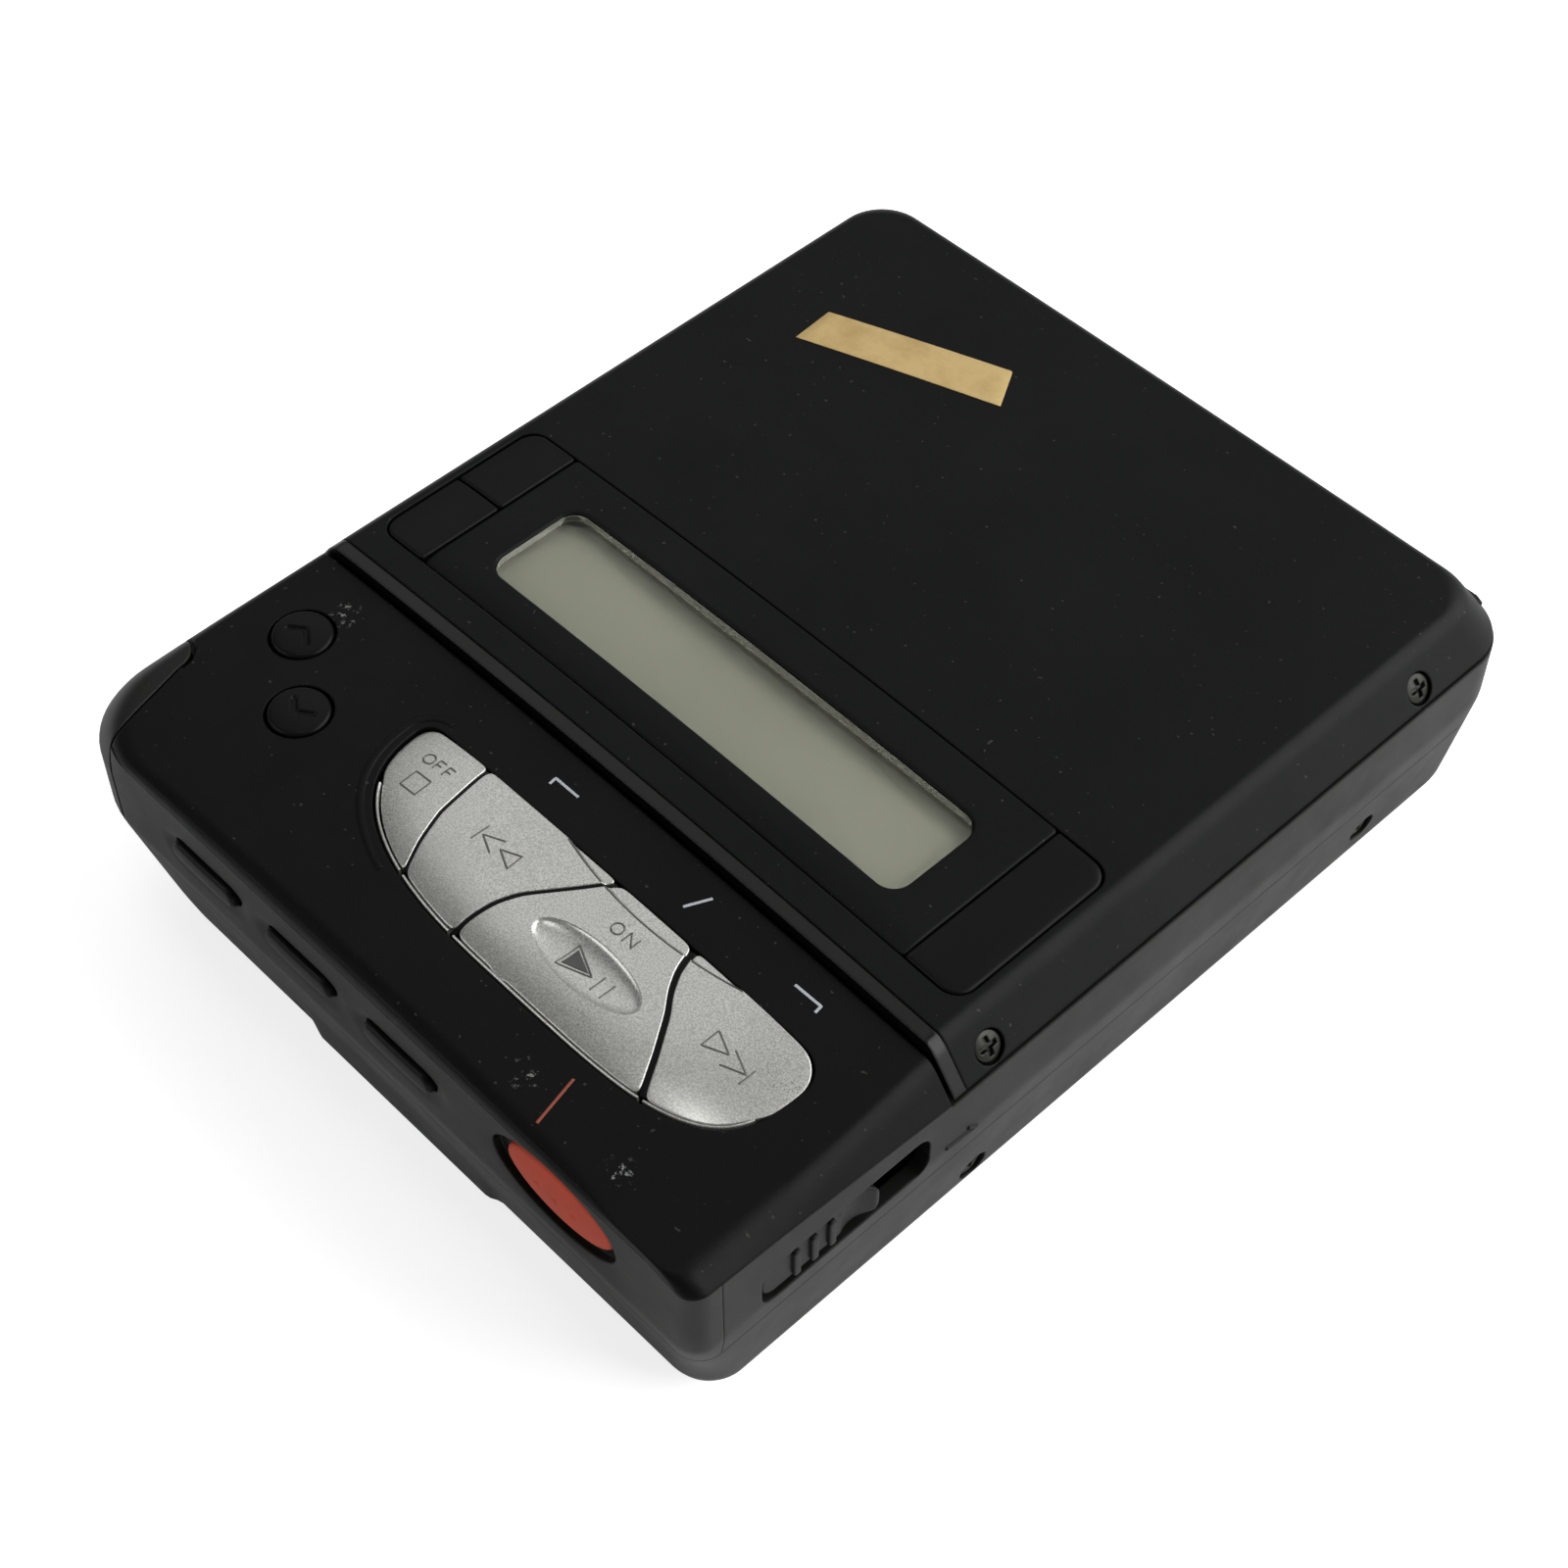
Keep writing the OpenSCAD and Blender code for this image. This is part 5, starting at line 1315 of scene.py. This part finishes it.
def bottom_shell():
    """Bottom case: outlines of the leaning walls from a rounded base edge up to the seam, then down their
    inside."""
    top = SEAM_Z - 0.05
    base = [(0.0, 1.2), (0.1, 0.85), (0.32, 0.48), (0.7, 0.18), (1.2, 0.02)]
    rows = []
    for z, extra in base + [(z, 0.0) for z in np.linspace(1.7, top, 16)]:
        front = lean(z, END_LEAN) + extra
        ring = case_ring(lean(z, SIDE_LEAN) + base_round(z), front, lean(z, REAR_LEAN) + base_round(z),
                         along=110, nose=nose_round(z))
        facing = smooth_step(front + 0.3, front + 0.02, ring[:, 1] - Y_FRONT)
        ring[:, 1] -= facing * foot_push(ring[:, 0], z, front)
        rows.append(at_height(ring, z))
    for z in np.linspace(top, 1.2, 8):
        rows.append(at_height(wall_ring(z, 110, WALL, rear_lean=REAR_LEAN, nose=nose_round(z)), z))
    shell = new_piece("bottom_case_shell", *close_rings(rows), "case_black")
    holes = [prism(f"jack_{i}", disc(y, JACK_Z, r), -OUT, -36, up="x")
             for i, (y, r) in enumerate(((-10, 2.6), (2, 2.6), (14, 2.6), (26, 2.8)))]
    for i, (side, y, z, x) in enumerate(BODY_SCREWS):
        holes.append(prism(f"screw_{i}", disc(y, z, 1.6), *side_span(side, x - 1.0, OUT), up="x"))
        holes.append(prism(f"shank_{i}", disc(y, z, 0.8), *side_span(side, 36.0, OUT), up="x"))
    carve(shell, *holes)
    finish_piece(shell, "body", "case_black", "bottom_case")
    # X, Y, radius and top of the posts under the board and the drive
    posts = [(x, y, 1.5, 2.4) for x in (-30, 30) for y in (-40.75, 40.75)]
    posts += [(x, y, 2.4, 9.0) for x in (-22, 33) for y in (-6.0, 34.0)]
    for i, (x, y, r, high) in enumerate(posts):
        finish_piece(prism(f"case_post_{i}", disc(x, y, r, 40), 1.0, high), "body", "case_black")


SLOT = (-45.3, -26.0, 15.0, 20.2)
TROUGH_END = 38.9


def mid_shell():
    """Belt of the case: outlines from the seam up to the lid line with the wall's inside behind them, cut
    for the door, the release slot and the hinge."""
    heights = np.concatenate([np.linspace(SEAM_Z + 0.03, 14.0, 5), np.linspace(14.2, 25.6, 24)])
    rows = [at_height(wall_ring(z, 200, thick, rear_lean=REAR_LEAN, nose=nose_round(z)), z)
            for thick, way in ((0.0, 1), (WALL, -1)) for z in heights[::way]]
    shell = new_piece("mid_frame_shell", *loop_rings(rows), "case_black")
    carve(shell, slab("front", -OUT, OUT, -FAR, PANEL_WRAP + WRAP_GAP, 0.0),
          slab("left", -OUT, 30, -FAR, FAR, LID_Z),
          edge_cutter(PANEL_WRAP - 2.0, DECK_REAR + 0.1, 29.0, OUT),
          slab("rear", -OUT, OUT, DECK_REAR, FAR, BODY_TOP),
          prism("door", door_outline(DOOR_GAP), DOOR_LOW, HIGH),
          prism("slot", corner_box(*SLOT, 1.7, 16), 36, OUT, up="x"),
          prism("trough", disc(*HINGE, HINGE_ROOM), -TROUGH_END, TROUGH_END, up="x"))
    finish_piece(shell, "body", "case_black", "mid_frame")


def frame_inside():
    """Rib, hinge feet, screw bosses, hinge lugs, door post and spring stop inside the belt."""
    blocks = [(-41.2, 41.2, -25.0, DECK_REAR, 14.4, BODY_TOP)]
    for side in (-1, 1):
        blocks.append((side * 34.05 - 1.75, side * 34.05 + 1.75, 50.1, 52.5, 18.45, HINGE[1]))
        for y, z in ((-18.5, 3.3), (34.4, 5.0)):
            blocks.append((side * 38.125 - 0.8, side * 38.125 + 0.8, y - 2, y + 2, z, 13.0))
            blocks.append((side * 39.4 - 2.0, side * 39.4 + 2.0, y - 2, y + 2, 12.55, 13.0))
    for i, box in enumerate(blocks):
        finish_piece(block(f"frame_block_{i}", *box), "body", "case_black")
    for side in (-1, 1):
        length = side_span(side, LUG_IN, LUG_OUT)
        lug = prism(f"hinge_lug_{side + 1}", disc(*HINGE, HINGE_R), *length, up="x")
        finish_piece(lug, "body", "case_black")
    finish_piece(prism("door_post", disc(*DOOR_PIVOT, 1.5, 40), SEAM_Z, DOOR_LOW), "body", "case_black")
    finish_piece(block("spring_stop", -41.5, -37.9, -6.9, -5.3, 12.7, 14.9), "body", "case_black")


def door_shell():
    """Battery door: the rounder front corner from its lower edge up the wall and over the shoulder, as thick
    as the wall, within the door's ground plan."""
    low = DOOR_LOW + 0.33
    walls = np.linspace(low, 21.9, 14)
    inset = roof_insets(0.0, 8, 20.0, 8)
    outer = [at_height(wall_ring(z), z) for z in walls]
    inner = [at_height(wall_ring(z, thick=WALL), z) for z in walls[walls < 20.4]]
    under = roof_rows(DECK_TOP, inset[::-1], deck_run, WALL)
    points, faces = close_rings(under + inner[::-1] + outer + roof_rows(DECK_TOP, inset, deck_run))
    shell = new_piece("battery_door_shell", points, faces, "case_black")
    carve(shell, keep=prism("plan", door_outline(0.0), LOW, HIGH))
    finish_piece(shell, "door", "case_black", "battery_door")
    finish_piece(prism("door_knuckle", disc(*DOOR_PIVOT, 1.7, 48), low, 23.0), "door", "case_black")


def screw_face(x, y):
    """Low dome with a cross recess: two arms, each narrow one way and long the other."""
    u, v = np.abs(x), np.abs(y)
    arms = np.maximum(smooth_step(0.26, 0.20, u) * smooth_step(0.95, 0.85, v),
                      smooth_step(0.26, 0.20, v) * smooth_step(0.95, 0.85, u))
    return 0.22 * (1 - (x * x + y * y) / 2.3) - 0.42 * arms


def screw_heads():
    """Blackened cross-head screws: at the lid they lie along the slope, at the body along the wall."""
    places = [("lid", "lid_screws", 0.28, slope_place(*at)) for at in LID_SCREWS]
    places += [("body", "body_screws", 0.45, ((side * x, y, z), (0, side, 0), (0, 0, 1), (side, 0, 0)))
               for side, y, z, x in BODY_SCREWS]
    for i, (body, node, sink, (at, across, upward, outward)) in enumerate(places):
        head = key_cap(f"{node}_head_{i}", disc(0, 0, 1.48), screw_face, -0.7, 0.14, "black_steel", rings=24)
        placed(head, np.array(at) - np.array(outward) * sink, across, upward, outward)
        finish_piece(head, body, "steel", *([node] if i % 4 == 0 else []))


KNOB = (-45.0, -32.1, 15.75, 19.7)
KNOB_X, RIB_RISE, RIB_HALF = 42.2, 0.38, 0.36
THUMB_FROM, THUMB_LENGTH = -36.2, 3.6


def knob_face(y, z):
    """Face of the release knob: level, with a hollow for the thumb and a raised end at the rear."""
    hollow = np.clip((y - THUMB_FROM) / THUMB_LENGTH, 0, 1)
    return KNOB_X - 1.5 * hollow * (1 - hollow) + 0.5 * hollow ** 3


def rib_face(y, z):
    """Level top of a rib."""
    return KNOB_X + RIB_RISE + 0.0 * y


def release_knob():
    """Knob of the lid release in its slot with three ribs across it, and its foot on the latch plate."""
    for i, y in enumerate((-41.3, -39.3, -37.3)):
        outline = even_outline(corner_box(y - RIB_HALF, y + RIB_HALF, 15.95, 19.4, 0.2, 5, 12), 120)
        rib = key_cap(f"eject_rib_{i}", outline, rib_face, 41.6, 0.13, "case_black", rings=6)
        finish_piece(placed(rib, *ON_RIGHT), "eject", "key_black")
    outline = even_outline(corner_box(*KNOB, 1.5, 16, 30), 260)
    knob = key_cap("eject_knob", outline, knob_face, 40.2, 0.2, "case_black", rings=60)
    finish_piece(placed(knob, *ON_RIGHT), "eject", "key_black", "eject_slider")
    finish_piece(block("eject_foot", 38.4, 40.4, -43.0, -34.1, 14.1, 20.8), "eject", "key_black")


bottom_shell()
mid_shell()
frame_inside()
door_shell()
screw_heads()
release_knob()
gold_label()
printed_marks()
release_arrow()

bpy.context.view_layer.update()
